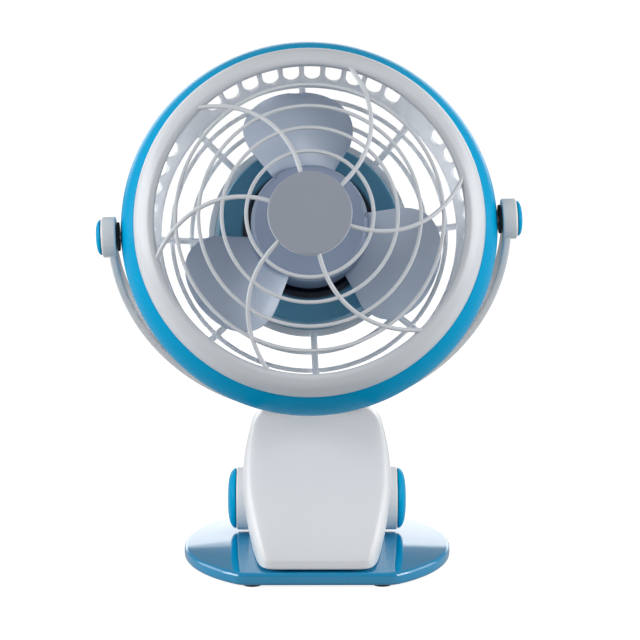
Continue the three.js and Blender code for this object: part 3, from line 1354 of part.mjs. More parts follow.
function bodyGroup() {
  const group = new THREE.Group();
  group.add(piece("body_shell", bodyShell(), whitePlastic()));
  group.add(piece("body_floor", bodyFloor(), whitePlastic()));
  group.add(...sided("floor_screw", floorScrew, steel));
  group.add(piece("lip_pad", lipPad(), blackRubber()));
  group.add(...sided("hinge_cap", hingeCap, bluePlastic));
  group.add(piece("battery_cell", batteryCell(), cellWrap()));
  group.add(piece("control_board", controlBoard(), boardGreen()));
  group.add(piece("charge_socket", chargeSocket(), steel()));
  group.add(piece("tact_switch", tactSwitch(), ferrite()));
  group.add(piece("power_button", powerButton(), bluePlastic()));
  return group;
}

function yokeGroup() {
  const group = new THREE.Group();
  group.add(piece("yoke_bracket", yokeBracket(), whitePlastic()));
  group.add(...sided("pivot_cap", pivotCap, bluePlastic));
  group.add(...sided("pivot_washer", pivotWasher, blackRubber));
  group.add(...sided("pivot_screw", pivotScrew, steel));
  group.add(piece("swivel_washer", swivelWasher(), steel()));
  group.add(piece("swivel_screw", swivelScrew(), steel()));
  return group;
}

function headGroup() {
  const group = new THREE.Group();
  group.add(piece("front_grille", frontGrille(), whitePlastic()));
  group.add(piece("grille_disc", grilleDisc(), greyPlastic()));
  group.add(piece("rim_band", rimBand(), bluePlastic()));
  group.add(piece("rear_bowl", rearBowl(), whitePlastic()));
  diagonals().forEach((angle) => {
    group.add(piece(`housing_screw_${angle}`, housingScrew(angle), steel()));
  });
  group.add(piece("motor_cup", motorCup(), bluePlastic()));
  group.add(piece("motor_cover", motorCover(), bluePlastic()));
  cupScrewTurns().forEach((turn) => {
    group.add(piece(`cup_screw_${turn}`, cupScrew(turn), steel()));
  });
  group.add(piece("motor_can", motorCan(), steel()));
  group.add(piece("motor_end_cap", motorEndCap(), ferrite()));
  group.add(...sided("motor_magnet", magnet, ferrite));
  group.add(piece("front_bearing", bearing(CAN_FRONT - 1.2), copper()));
  group.add(piece("rear_bearing", bearing(REAR_BEARING), copper()));
  group.add(piece("motor_screw_upper", motorScrew(1), steel()));
  group.add(piece("motor_screw_lower", motorScrew(-1), steel()));
  group.add(piece("fan_blades", fanBlades(), bladePlastic()));
  group.add(piece("motor_shaft", motorShaft(), steel()));
  group.add(piece("motor_armature", armature(), copper()));
  return group;
}

const fan = new THREE.Group();
const seat = new THREE.Group();
seat.position.set(0, SEAT_Y, SEAT_Z);
seat.rotation.set(toRadians(YOKE_LEAN), -toRadians(HEAD_LEAN), toRadians(HEAD_SWIVEL), "YXZ");
const pivots = yokeGroup();
pivots.position.set(0, 0, SEAT_DISTANCE);
const head = headGroup();
head.rotation.x = -toRadians(YOKE_LEAN + HEAD_TILT);
pivots.add(head);
seat.add(pivots);
fan.add(baseGroup(), bodyGroup(), seat);

export default fan;
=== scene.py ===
import math

import bmesh
import bpy
from mathutils import Matrix, Vector


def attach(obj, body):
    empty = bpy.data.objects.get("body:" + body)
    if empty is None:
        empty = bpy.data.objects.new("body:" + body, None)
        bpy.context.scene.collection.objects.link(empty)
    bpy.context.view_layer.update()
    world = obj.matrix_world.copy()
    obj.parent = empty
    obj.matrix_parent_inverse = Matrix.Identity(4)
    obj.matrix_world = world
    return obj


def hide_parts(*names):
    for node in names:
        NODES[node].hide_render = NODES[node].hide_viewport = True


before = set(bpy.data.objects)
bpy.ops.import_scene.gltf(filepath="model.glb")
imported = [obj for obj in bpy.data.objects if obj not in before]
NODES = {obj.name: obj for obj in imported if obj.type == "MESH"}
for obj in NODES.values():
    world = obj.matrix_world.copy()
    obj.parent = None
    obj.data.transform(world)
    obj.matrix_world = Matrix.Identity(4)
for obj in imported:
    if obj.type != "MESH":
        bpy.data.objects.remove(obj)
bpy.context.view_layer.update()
MM = 0.001

# ------------------------------------------------------------------ sizes, millimetres
GAP = 0.3  # between two pieces that rest on or fit into each other
SEAT = (0.0, 15.0, 56.4)  # where the yoke stands on the body
PIVOT_DISTANCE = 80.2  # from there to the pivots
YOKE_LEAN, HEAD_LEAN, HEAD_SWIVEL, HEAD_TILT = 14.5, 2.2, 1.1, 16.3  # degrees
HINGE = (0.0, 17.0, 20.0)

RIM_RADIUS, RIM_FRONT, RIM_BACK, RIM_WALL = 73.25, -16.2, 2.6, 2.0
RIM_SWELL = (70.83, -10.56), (72.62, -4.92)  # (radius, y) where the rim widens towards the back
BEZEL_RADIUS, BEZEL_OPENING, BEZEL_FRONT = 67.2, 58.9, -26.8
GRILLE_FRONT, GRILLE_CROWN = -40.2, 13.4
GRILLE_RINGS = (23.74, 32.93, 41.7, 50.48)
RING_SECTION, SPOKE_SECTION, RING_SET = (1.45, 2.2), (1.7, 2.3), 1.3  # the last: face to a ring's middle
DISC_RADIUS, BADGE_RADIUS, BADGE_DEPTH, BADGE_LIP, DISH_DEPTH = 15.8, 14.4, 2.2, 0.9, 3.6
SPOKES, SPOKE_START, SPOKE_SWEEP, SPOKE_POWER = 6, -9.9, -31.35, 1.62

BOWL_RADIUS, BOWL_SHOULDER, BOWL_SHOULDER_Y, BOWL_DOME_Y = 72.0, 60.0, 14.0, 26.5
BOWL_FRONT = RIM_BACK + GAP
BOWL_RINGS = (54.2, 46.6)
BOWL_SPOKES, BOWL_POWER = 8, 1.7  # the power shapes the dome
BOWL_RING_SET, BOWL_SPOKE_SET = 1.3, 1.4  # the bowl's face to the middle of a ring and of a spoke
BOWL_RING_SECTION, SHOULDER_SECTION, BOWL_SPOKE_SECTION = (1.8, 2.4), (1.9, 2.6), (2.6, 2.7)
FLANGE_OUTER, FLANGE_INNER, FLANGE_THICKNESS = 40.0, 30.0, 2.0
SLOT_POSITIONS, SLOTS_PER_QUARTER, SLOT_WIDTH = 48, 10, 6.4
SLOT_FRONT, SLOT_REAR = 4.9, 12.4
SCREW_CIRCLE, SCREW_ANGLES = 68.4, (45, 135, 225, 315)
BOSS_RADIUS, BOSS_BACK, POCKET_RADIUS, POCKET_DEPTH = 3.3, 10.0, 2.5, 1.8
LUG_FRONT, SCREW_BORE = -6, 1.6
PIVOT_PAD_RADIUS, PIVOT_PAD_INNER, PIVOT_PAD_OUTER = 4.4, 65.5, 72  # where the pivots enter the rim
PIVOT_BORE_INNER, PIVOT_BORE_OUTER = 64, 76

CUP_RADIUS, CUP_FLARE, CUP_FRONT, CUP_WALL = 35.8, 37.6, 13.0, 2.0
CUP_BACK = BOWL_DOME_Y - FLANGE_THICKNESS - GAP
CUP_SCREW_CIRCLE, CUP_SCREW_ANGLES, CUP_POST = 32.4, (30, 150, 270), 2.9
CUP_RIB_WIDTH, CUP_RIB_HEIGHT = 1.4, 1.2
SHAFT_HOLE, SLEEVE_RADIUS, SLEEVE_WALL, SLEEVE_DEPTH = 3.4, 13.9, 1.8, 9
MOTOR_SCREW_BORE, MOTOR_SCREW_OFFSET = 1.3, 8.5
COVER_DEPTH = 15.0
HUB_RADIUS, HUB_FRONT, HUB_BACK = 22.5, -15.3, 10.6
BLADES, BLADE_TIP, BLADE_MIDDLE, BLADE_TURN = 3, 52.6, -5.0, 2.4
BLADE_TRAILING, BLADE_LEADING, BLADE_CENTRE = -39.0, 26.5, -5.0
BLADE_TIP_START, BLADE_TIP_POWER = 32.0, 2.5
BLADE_ROOT_DEPTH, BLADE_TIP_DEPTH, BLADE_CAMBER, BLADE_HALF_THICKNESS = 21.0, 15.0, 2.0, 0.9

STRAP_INNER, STRAP_OUTER, STRAP_WIDTH = 75.2, 78.3, 11.0
PIVOT_BOSS, PIVOT_REACH, PIVOT_POCKET, PIVOT_FLOOR = 7.9, 80.5, 4.2, 77.5
PIVOT_BORE, BOSS_INSET = 1.8, 0.4
PIVOT_CAP_RADIUS, PIVOT_CAP_HEIGHT, WASHER_RADIUS = 6.9, 1.9, 5.6
STEM_RADIUS, STEM_END, SWIVEL_BORE = 6.0, 79.9, 2.8
BASE_RADIUS, BASE_FRONT, BASE_CORNER, BASE_EDGE = 53.0, 44.0, 9.0, 1.5
PLATE_BOTTOM, PLATE_TOP = 1.3, 6.3
FOOT_RADIUS, FOOT_SINK = 4.0, 1.0
FEET = {"front_left": (-25, -37), "front_right": (25, -37), "rear_left": (-25, 36), "rear_right": (25, 36)}
EAR_RADIUS, EAR_OFFSET, EAR_HALF, EAR_FOOT = 6.5, 20.0, 2.0, -14.5
PIN_RADIUS, PIN_CUT = 2.5, 40  # the cut for the pin reaches this far to each side

BODY_BOTTOM, BODY_TOP, LIP_TOP = 7.3, 57.8, 10.8
BODY_HALF, BODY_WALL, BODY_REACH = 30.0, 2.2, 32.4
WIDEST_Z, CREST_TAPER, FOOT_TAPER, JAW_TAPER = 28.0, 0.19, 0.076, 0.2  # how the width falls off
JAW_POWER, RISE_POWER, FACE_POWER = 1.2, 1.2, 0.55  # curves of the jaw's taper and of the face
FACE_SQUARENESS, REAR_SQUARENESS, PLAN_MIDDLE = 12.0, 3.3, 12.0
BODY_FRONT, BODY_BACK, CREST_FRONT, CREST_BACK = 42.8, 45.5, 17.0, 20.0
CREST_ROUND, REAR_TURN_Z = 5, 26  # rounding under the top, and where the back starts to lean in
HEEL_BACK, HEEL_SLOPE = 19.5, 0.5  # how the back is cut away at the bottom
CAP_RADIUS, CAP_HEIGHT, HINGE_BOSS = 12.3, 3.4, 12.8
OPENING_FRONT, OPENING_BACK, OPENING_HALF, OPENING_DEPTH = 38.3, 32.0, 25.7, 11
FLOOR_THICKNESS, FLOOR_SCREW = 2.0, (13.5, -26.0)
COLUMN_RADIUS, COLUMN_FOOT, COLUMN_BORE_DEPTH = 3.6, 4.5, 14.8
SEAT_BOSS, SEAT_BOSS_DEPTH, SEAT_DEPTH = 8.5, 2.9, 4.1
LIP_PAD_HALF, LIP_PAD_FRONT, LIP_PAD_BACK = 13, -39.6, -34
LIP_PAD_SUNK, LIP_PAD_POCKET = 0.9, 1.2  # how far the pad and its pocket go into the lip
BOARD_FACE, SOCKET_Z, SOCKET_HALF, SOCKET_HALF_HEIGHT = 36.2, 25.0, 4.5, 1.65
BUTTON_Z, BUTTON_BACK, BUTTON_BORE, BUTTON_RADIUS = 33.8, 45.6, 4.8, 4.5
BUTTON_FLANGE, BUTTON_FLANGE_DEPTH = 5.4, 0.9
SWITCH_REACH, BUTTON_TRAVEL = 1.1, 0.8
ROUND = 160  # steps round the large turned pieces
SMALL_EDGE = 0.3  # rounding of small edges
SHARP = math.radians(38)  # edges that turn by more than this stay sharp in the shading
CUT = 1  # how far a cut reaches past the face it opens

# ------------------------------------------------------------------ placing


def move(x, y, z):
    return Matrix.Translation((x, y, z))


def turn(axis, degrees):
    return Matrix.Rotation(math.radians(degrees), 4, axis)


SEAT_FRAME = move(*SEAT) @ turn("Y", -HEAD_LEAN) @ turn("X", YOKE_LEAN) @ turn("Z", HEAD_SWIVEL)
YOKE = SEAT_FRAME @ move(0, 0, PIVOT_DISTANCE)
HEAD = YOKE @ turn("X", -(YOKE_LEAN + HEAD_TILT))
BODY = Matrix.Identity(4)
# a lathe's own axis is +y: these lay it along +z, or outwards along x on one side
UPRIGHT = turn("X", 90)
SIDE = {-1: turn("Z", 90), 1: turn("Z", -90)}


def clock(radius, degrees, y=0.0):
    angle = math.radians(degrees)
    return Vector((radius * math.sin(angle), y, radius * math.cos(angle)))


# ------------------------------------------------------------------ mesh building


class Shape:
    """Points in millimetres and faces, gathered from several closed forms."""

    def __init__(self):
        self.points = []
        self.faces = []

    def add(self, points, faces, place=BODY):
        start = len(self.points)
        self.points += [place @ Vector(p) for p in points]
        self.faces += [tuple(start + i for i in f) for f in faces]
        return self

    def lathe(self, profile, place=BODY, steps=ROUND, closed=True, span=None):
        return self.add(*lathe(profile, steps, closed, span), place)

    def loft(self, rings, place=BODY):
        return self.add(*loft(rings), place)


def fillet(points, radii, steps=4, closed=True):
    """Rounds the corners of an outline."""
    count = len(points)
    out = []
    for i, point in enumerate(points):
        here = Vector((*point, 0)).to_2d()
        radius = radii[i] if isinstance(radii, (list, tuple)) else radii
        if radius <= 0 or (not closed and i in (0, count - 1)):
            out.append(tuple(here))
            continue
        before = Vector(points[i - 1]) - here
        after = Vector(points[(i + 1) % count]) - here
        reach = min(radius, before.length * 0.49, after.length * 0.49)
        first = here + before.normalized() * reach
        last = here + after.normalized() * reach
        for k in range(steps + 1):
            t = k / steps
            out.append(tuple(first * (1 - t) ** 2 + here * 2 * t * (1 - t) + last * t * t))
    return out


def strip(rows, count, closed_rows, closed_ring=True):
    """Faces between successive rings of count points."""
    faces = []
    for row in range(rows if closed_rows else rows - 1):
        a, b = row * count, ((row + 1) % rows) * count
        for i in range(count if closed_ring else count - 1):
            j = (i + 1) % count
            faces.append((a + i, a + j, b + j, b + i))
    return faces


def caps(rows, count):
    last = (rows - 1) * count
    return [tuple(range(count)), tuple(last + i for i in reversed(range(count)))]


def lathe(profile, steps, closed=True, span=None):
    """Turns an outline of (radius, y) about y, all round or over a span of degrees."""
    whole = span is None
    rows = steps if whole else steps + 1
    low, high = (0.0, 360.0) if whole else span
    points = []
    for row in range(rows):
        degrees = low + (high - low) * row / steps
        points += [clock(radius, degrees, y) for radius, y in profile]
    count = len(profile)
    faces = strip(rows, count, whole, closed)
    return points, faces if whole else faces + caps(rows, count)


def loft(rings):
    count = len(rings[0])
    points = [p for ring in rings for p in ring]
    return points, strip(len(rings), count, False) + caps(len(rings), count)


def rod(radius, low, high, edge=0.0):
    """The outline of a rod, for an open lathe, with its ends' edges rounded."""
    return fillet([(0, low), (radius, low), (radius, high), (0, high)], edge, 3, False)


def oval(width, depth, steps=12):
    """A rounded section: an ellipse squared a little, as (across, along y)."""
    out = []
    for k in range(steps):
        a = 2 * math.pi * k / steps
        c, s = math.cos(a), math.sin(a)
        out.append((math.copysign(abs(c) ** 0.8, c) * width / 2, math.copysign(abs(s) ** 0.8, s) * depth / 2))
    return out


def sweep(path, section):
    """Sweeps a section along a path; its first axis lies across, its second along y."""
    rings = []
    for i, point in enumerate(path):
        along = Vector(path[min(i + 1, len(path) - 1)]) - Vector(path[max(i - 1, 0)])
        along.y = 0
        along.normalize()
        across = Vector((along.z, 0, -along.x))
        rings.append([Vector(point) + across * u + Vector((0, v, 0)) for u, v in section])
    return loft(rings)


def mesh_of(name, shape):
    mesh = bpy.data.meshes.new(name)
    mesh.from_pydata([tuple(p * MM) for p in shape.points], [], shape.faces)
    bm = bmesh.new()
    bm.from_mesh(mesh)
    bmesh.ops.remove_doubles(bm, verts=bm.verts, dist=1e-6)
    bmesh.ops.dissolve_degenerate(bm, edges=bm.edges, dist=1e-7)
    bmesh.ops.recalc_face_normals(bm, faces=bm.faces)
    bm.to_mesh(mesh)
    bm.free()
    reshade(mesh)
    return mesh


def reshade(mesh):
    mesh.polygons.foreach_set("use_smooth", [True] * len(mesh.polygons))
    mesh.set_sharp_from_angle(angle=SHARP)
    mesh.update()


def add_object(name, data):
    piece = bpy.data.objects.new(name, data)
    bpy.context.scene.collection.objects.link(piece)
    return piece


def carve(piece, operation, *shapes):
    """Joins forms to a piece or cuts them out of it; the boolean is applied at once."""
    for shape in shapes:
        tool = shape if isinstance(shape, bpy.types.Object) else add_object("tool", mesh_of("tool", shape))
        step = piece.modifiers.new("carve", "BOOLEAN")
        step.operation = operation
        step.solver = "EXACT"
        step.object = tool
        bpy.context.view_layer.update()
        graph = bpy.context.evaluated_depsgraph_get()
        shaped = bpy.data.meshes.new_from_object(piece.evaluated_get(graph))
        piece.modifiers.clear()
        piece.data = shaped
        bpy.data.objects.remove(tool)
    reshade(piece.data)
    return piece


def dressed(piece, body, slot, material, *replaced):
    piece.data.materials.clear()
    piece.data.materials.append(material)
    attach(piece, body)
    if replaced:
        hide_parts(*replaced)
    return piece


def form(name, shape):
    return add_object(name, mesh_of(name, shape))


# ------------------------------------------------------------------ materials

MOTTLE_SCALE, MOTTLE_DETAIL = 28.0, 3.0
GRAIN_DETAIL, GRAIN_DEPTH = 2.0, 0.0002
GLOSS_SPREAD = 0.05  # how far the roughness strays to each side
TINT_AND_SHADE_EDGE = 1.5  # millimetres over which a core's colour fades out: the blades' tint and the cup's painted shade


def noise(tree, place, scale, detail):
    node = tree.nodes.new("ShaderNodeTexNoise")
    node.inputs["Scale"].default_value = scale
    node.inputs["Detail"].default_value = detail
    tree.links.new(place.outputs["Object"], node.inputs["Vector"])
    return node


def shader(name, color, roughness, mottle=0.02, grain=0.02, grain_scale=900.0, **extra):
    """Moulded plastic or metal: faint mottling of colour and gloss, and a fine grain."""
    material = bpy.data.materials.new(name)
    material.use_nodes = True
    tree = material.node_tree
    link = tree.links.new
    principled = tree.nodes["Principled BSDF"]
    place = tree.nodes.new("ShaderNodeTexCoord")
    cloud = noise(tree, place, MOTTLE_SCALE, MOTTLE_DETAIL)
    tint = tree.nodes.new("ShaderNodeValToRGB")
    for element, position, share in zip(tint.color_ramp.elements, (0.3, 0.7), (1 - mottle, 1 + mottle)):
        element.position = position
        element.color = (*[min(c * share, 1) for c in color], 1)
    link(cloud.outputs["Fac"], tint.inputs["Fac"])
    link(tint.outputs["Color"], principled.inputs["Base Color"])
    gloss = tree.nodes.new("ShaderNodeMapRange")
    gloss.inputs["To Min"].default_value = max(roughness - GLOSS_SPREAD, 0.02)
    gloss.inputs["To Max"].default_value = roughness + GLOSS_SPREAD
    link(cloud.outputs["Fac"], gloss.inputs["Value"])
    link(gloss.outputs["Result"], principled.inputs["Roughness"])
    fine = noise(tree, place, grain_scale, GRAIN_DETAIL)
    bump = tree.nodes.new("ShaderNodeBump")
    bump.inputs["Strength"].default_value = grain
    bump.inputs["Distance"].default_value = GRAIN_DEPTH
    link(fine.outputs["Fac"], bump.inputs["Height"])
    link(bump.outputs["Normal"], principled.inputs["Normal"])
    for key, value in extra.items():
        principled.inputs[key.replace("_", " ")].default_value = value
    return material


def core_tint_and_shade(material, color, radius):
    """Gives a material another colour up to a radius from the fan's axis; on the cup it is painted shade."""
    tree = material.node_tree
    link = tree.links.new
    principled = tree.nodes["Principled BSDF"]
    place = tree.nodes.new("ShaderNodeTexCoord")
    offset, cross, size = (tree.nodes.new("ShaderNodeVectorMath") for _ in range(3))
    offset.operation, cross.operation, size.operation = "SUBTRACT", "CROSS_PRODUCT", "LENGTH"
    offset.inputs[1].default_value = HEAD.translation * MM
    cross.inputs[1].default_value = HEAD.col[1].to_3d()
    link(place.outputs["Object"], offset.inputs[0])
    link(offset.outputs["Vector"], cross.inputs[0])
    link(cross.outputs["Vector"], size.inputs[0])
    share = tree.nodes.new("ShaderNodeMapRange")
    share.inputs["From Min"].default_value = radius * MM
    share.inputs["From Max"].default_value = (radius + TINT_AND_SHADE_EDGE) * MM
    link(size.outputs["Value"], share.inputs["Value"])
    mix = tree.nodes.new("ShaderNodeMix")
    mix.data_type = "RGBA"
    mix.inputs["A"].default_value = (*color, 1)
    link(share.outputs["Result"], mix.inputs["Factor"])
    link(principled.inputs["Base Color"].links[0].from_socket, mix.inputs["B"])
    link(mix.outputs["Result"], principled.inputs["Base Color"])


WHITE = shader("white_plastic", (0.78, 0.80, 0.82), 0.30, mottle=0.012, grain=0.05)
BOWL = shader("bowl_plastic", (0.80, 0.805, 0.83), 0.32, grain=0.04, Subsurface_Weight=1.0,
              Subsurface_Scale=0.012, Subsurface_Radius=(1, 1, 1))
BOWL.node_tree.nodes["Principled BSDF"].subsurface_method = "BURLEY"
GREY = shader("grille_plastic", (0.64, 0.67, 0.71), 0.30, mottle=0.012, grain=0.04)
BADGE = shader("disc_plastic", (0.325, 0.355, 0.42), 0.34, mottle=0.02, grain=0.05)
BLUE = shader("blue_plastic", (0.0, 0.325, 0.60), 0.22, grain=0.02, Specular_IOR_Level=0.04)
PLATE = shader("blue_gloss", (0.0, 0.25, 0.49), 0.10, grain=0.005, Specular_IOR_Level=0.1, Coat_Weight=1.0,
               Coat_IOR=1.8)
BLADE = shader("blade_plastic", (0.70, 0.80, 0.95), 0.24, Transmission_Weight=0.1)
core_tint_and_shade(BLADE, (0.36, 0.44, 0.60), HUB_RADIUS)
CUP = shader("cup_plastic", (0.17, 0.52, 0.74), 0.16, Transmission_Weight=0.15)
# painted shade: the cup's face round the hub is near black, for the shade in the deep gap between the hub and
# the cup
core_tint_and_shade(CUP, (0.006, 0.012, 0.03), HUB_RADIUS + 3.2)
RUBBER = shader("rubber", (0.012, 0.013, 0.015), 0.7, grain=0.2, grain_scale=1600)
STEEL = shader("steel", (0.55, 0.56, 0.58), 0.3, grain=0.05, Metallic=1.0)
COPPER = shader("copper", (0.55, 0.25, 0.10), 0.4, Metallic=1.0)
BRASS = shader("brass", (0.60, 0.42, 0.18), 0.35, Metallic=1.0)
FERRITE = shader("ferrite", (0.03, 0.03, 0.035), 0.8, grain=0.3)
BOARD = shader("board", (0.01, 0.12, 0.05), 0.45)
CELL = shader("cell_wrap", (0.03, 0.14, 0.40), 0.35)

# ------------------------------------------------------------------ head: guard and rim


def grille_face(radius):
    return GRILLE_FRONT + GRILLE_CROWN * (radius / BEZEL_OPENING) ** 2


def bezel_outline():
    skirt, front = BEZEL_RADIUS - 2, RIM_FRONT - GAP
    outline = [
        (BEZEL_RADIUS, front), (BEZEL_RADIUS - 0.5, RIM_FRONT - 4.4),
        (BEZEL_RADIUS - 2.8, RIM_FRONT - 8.6), (BEZEL_OPENING + 1.8, BEZEL_FRONT),
        (BEZEL_OPENING, BEZEL_FRONT + 0.9), (BEZEL_OPENING, BEZEL_FRONT + 4.6),
        (BEZEL_OPENING + 1.8, BEZEL_FRONT + 4.6), (skirt - 1.6, RIM_FRONT - 0.5),
        (skirt - 1.6, RIM_FRONT + 4.2), (skirt, RIM_FRONT + 4.2), (skirt, front),
    ]
    return fillet(outline, [0.5, 4.0, 4.0, 1.2, 1.0, 0.5, 0.6, 0.6, 0.3, 0.3, 0.3], 5)


def spoke_path(number, steps=44):
    path = []
    for i in range(steps + 1):
        radius = DISC_RADIUS - 1 + (BEZEL_OPENING + 2.4 - DISC_RADIUS) * i / steps
        share = max(radius - DISC_RADIUS, 0) / (BEZEL_OPENING - DISC_RADIUS)
        degrees = SPOKE_START + SPOKE_SWEEP * share**SPOKE_POWER + 360 / SPOKES * number
        path.append(clock(radius, degrees, grille_face(radius) + SPOKE_SECTION[1] / 2))
    return path


def front_grille():
    shape = Shape().lathe(bezel_outline(), HEAD)
    for radius in GRILLE_RINGS:
        middle = grille_face(radius) + RING_SET
        shape.lathe([(radius + u, middle + v) for u, v in oval(*RING_SECTION)], HEAD)
    for number in range(SPOKES):
        shape.add(*sweep(spoke_path(number), oval(*SPOKE_SECTION, 14)), HEAD)
    floor, back = GRILLE_FRONT + BADGE_DEPTH, GRILLE_FRONT + DISH_DEPTH
    wall = BADGE_RADIUS + GAP
    land = GRILLE_FRONT + BADGE_LIP + GAP
    dish = [(0, floor), (wall, floor), (wall, land), (DISC_RADIUS, land), (DISC_RADIUS, back), (0, back)]
    shape.lathe(fillet(dish, [0, 0.2, 0.2, 0.3, 0.6, 0], 4, False), HEAD, 96, False)
    dressed(form("front_grille", shape), "head", "grille_plastic", GREY, "front_grille")


def grille_disc():
    back, lip, edge = GRILLE_FRONT + BADGE_DEPTH - GAP, GRILLE_FRONT + BADGE_LIP, DISC_RADIUS - 0.1
    outline = [
        (0, back), (BADGE_RADIUS, back), (BADGE_RADIUS, lip), (edge, lip), (edge, GRILLE_FRONT + 0.15),
        (edge * 0.7, GRILLE_FRONT - 0.05), (0, GRILLE_FRONT - 0.1),
    ]
    shape = Shape().lathe(fillet(outline, [0, 0.2, 0.1, 0.2, 0.5, 4, 0], 5, False), HEAD, 96, False)
    dressed(form("grille_disc", shape), "head", "grille_plastic", BADGE, "grille_disc")


def rim_band():
    outer = [
        (BEZEL_RADIUS + GAP, RIM_FRONT), *RIM_SWELL, (RIM_RADIUS, -0.97), (RIM_RADIUS - 0.3, RIM_BACK),
    ]
    inner = [(r - RIM_WALL, y) for r, y in reversed(outer)]
    shape = Shape().lathe(fillet(outer + inner, [0.5, 4, 4, 2.5, 0.6, 0.4, 1, 1, 1, 0.4], 5), HEAD, 192)
    piece = form("rim_band", shape)
    pad = rod(PIVOT_PAD_RADIUS, PIVOT_PAD_INNER, PIVOT_PAD_OUTER, SMALL_EDGE)
    lug = rod(BOSS_RADIUS, LUG_FRONT, RIM_BACK, SMALL_EDGE)
    bore = rod(PIVOT_BORE, PIVOT_BORE_INNER, PIVOT_BORE_OUTER)  # through the pad and the rim
    pads = [Shape().lathe(pad, HEAD @ SIDE[side], 32, False) for side in (-1, 1)]
    lugs = [Shape().lathe(lug, HEAD @ move(*clock(SCREW_CIRCLE, a)), 32, False) for a in SCREW_ANGLES]
    bores = [Shape().lathe(bore, HEAD @ SIDE[side], 24, False) for side in (-1, 1)]
    carve(piece, "UNION", *pads, *lugs)
    carve(piece, "DIFFERENCE", *bores)
    dressed(piece, "head", "blue_plastic", BLUE, "rim_band")


# ------------------------------------------------------------------ head: rear bowl


def bowl_face(radius):
    start = FLANGE_OUTER - 3
    share = max(radius - start, 0) / (BOWL_SHOULDER - start)
    return BOWL_DOME_Y - (BOWL_DOME_Y - BOWL_SHOULDER_Y) * share**BOWL_POWER


class SlottedWall:
    """The sloping wall: a ring of cells, most of them with a slot, joined edge to edge."""

    side = 8  # points along each side of a cell
    thickness = 2.0
    # how far each loop round a slot stands off it, and its depth in the wall: rounded edges
    loops = ((0.5, 0.0), (0.16, 0.05), (0.0, 0.45), (0.0, 1.55), (0.16, 1.95), (0.5, 2.0))

    def __init__(self):
        self.start = Vector((BOWL_RADIUS, BOWL_FRONT))
        end = Vector((BOWL_SHOULDER, BOWL_SHOULDER_Y))
        self.length = (end - self.start).length
        self.along = (end - self.start) / self.length
        self.inward = Vector((-self.along.y, self.along.x))
        self.pitch = 360 / SLOT_POSITIONS
        self.low = (SLOT_FRONT - BOWL_FRONT) / self.along.y
        self.high = (SLOT_REAR - BOWL_FRONT) / self.along.y

    def at(self, v, depth, degrees):
        point = self.start + self.along * v + self.inward * depth
        return clock(point.x, degrees, point.y)

    def hole(self, grow):
        """A loop round the slot, as (across mm, along mm), flat in front and round behind."""
        half, low = SLOT_WIDTH / 2, self.low - grow
        centre = self.high - half
        points = []
        shares = [(k + 0.5) / self.side for k in range(self.side)]
        points += [((half + grow) * (2 * t - 1), low) for t in shares]
        points += [(half + grow, low + (centre - low) * t) for t in shares]
        for t in shares:
            a = math.pi * t
            points.append(((half + grow) * math.cos(a), centre + (half + grow) * math.sin(a)))
        points += [(-half - grow, centre - (centre - low) * t) for t in shares]
        return points

    def edge(self):
        """The cell's own edge, as (share of the pitch, along mm), in the same order."""
        shares = [k / self.side for k in range(self.side)]
        return (
            [(t - 0.5, 0.0) for t in shares]
            + [(0.5, self.length * t) for t in shares]
            + [(0.5 - t, self.length) for t in shares]
            + [(-0.5, self.length * (1 - t)) for t in shares]
        )

    def open_cell(self, turned):
        edge = self.edge()
        rings = [[self.at(v, 0, turned + u * self.pitch) for u, v in edge]]
        for grow, depth in self.loops:
            ring = []
            for across, v in self.hole(grow):
                radius = (self.start + self.along * v).x
                ring.append(self.at(v, depth, turned + math.degrees(across / radius)))
            rings.append(ring)
        rings.append([self.at(v, self.thickness, turned + u * self.pitch) for u, v in edge])
        return [p for ring in rings for p in ring], strip(len(rings), len(edge), False)

    def closed_face(self, turned, depth):
        rows = [
            [
                self.at(self.length * row / self.side, depth, turned + (col / self.side - 0.5) * self.pitch)
                for col in range(self.side + 1)
            ]
            for row in range(self.side + 1)
        ]
        return [p for row in rows for p in row], strip(self.side + 1, self.side + 1, False, False)

    def slotted(self):
        """Twice the position of each slot, in pitches, so that half pitches stay whole."""
        span = (SLOTS_PER_QUARTER - 1) / 2
        quarters = range(0, SLOT_POSITIONS, SLOT_POSITIONS // 4)
        places = [round(2 * (q + i - span)) for q in quarters for i in range(SLOTS_PER_QUARTER)]
        return {place % (2 * SLOT_POSITIONS) for place in places}

    def add_to(self, shape):
        slotted = self.slotted()
        for cell in range(SLOT_POSITIONS):
            turned = (cell + 0.5) * self.pitch
            if 2 * cell + 1 in slotted:
                shape.add(*self.open_cell(turned), HEAD)
            else:
                shape.add(*self.closed_face(turned, 0), HEAD)
                shape.add(*self.closed_face(turned, self.thickness), HEAD)
        for v, bulge in ((0.0, -0.25), (self.length, 0.5)):
            first = self.start + self.along * v
            last = first + self.inward * self.thickness
            middle = (first + last) / 2 + self.along * bulge
            shape.lathe([tuple(first), tuple(middle), tuple(last)], HEAD, SLOT_POSITIONS * self.side, False)


def bowl_bosses():
    shape = Shape()
    floor = BOSS_BACK - POCKET_DEPTH
    tube = [
        (SCREW_BORE, BOWL_FRONT), (BOSS_RADIUS, BOWL_FRONT), (BOSS_RADIUS, BOSS_BACK),
        (POCKET_RADIUS, BOSS_BACK), (POCKET_RADIUS, floor), (SCREW_BORE, floor),
    ]
    for degrees in SCREW_ANGLES:
        shape.lathe(fillet(tube, 0.2, 3), HEAD @ move(*clock(SCREW_CIRCLE, degrees)), 32)
    return shape


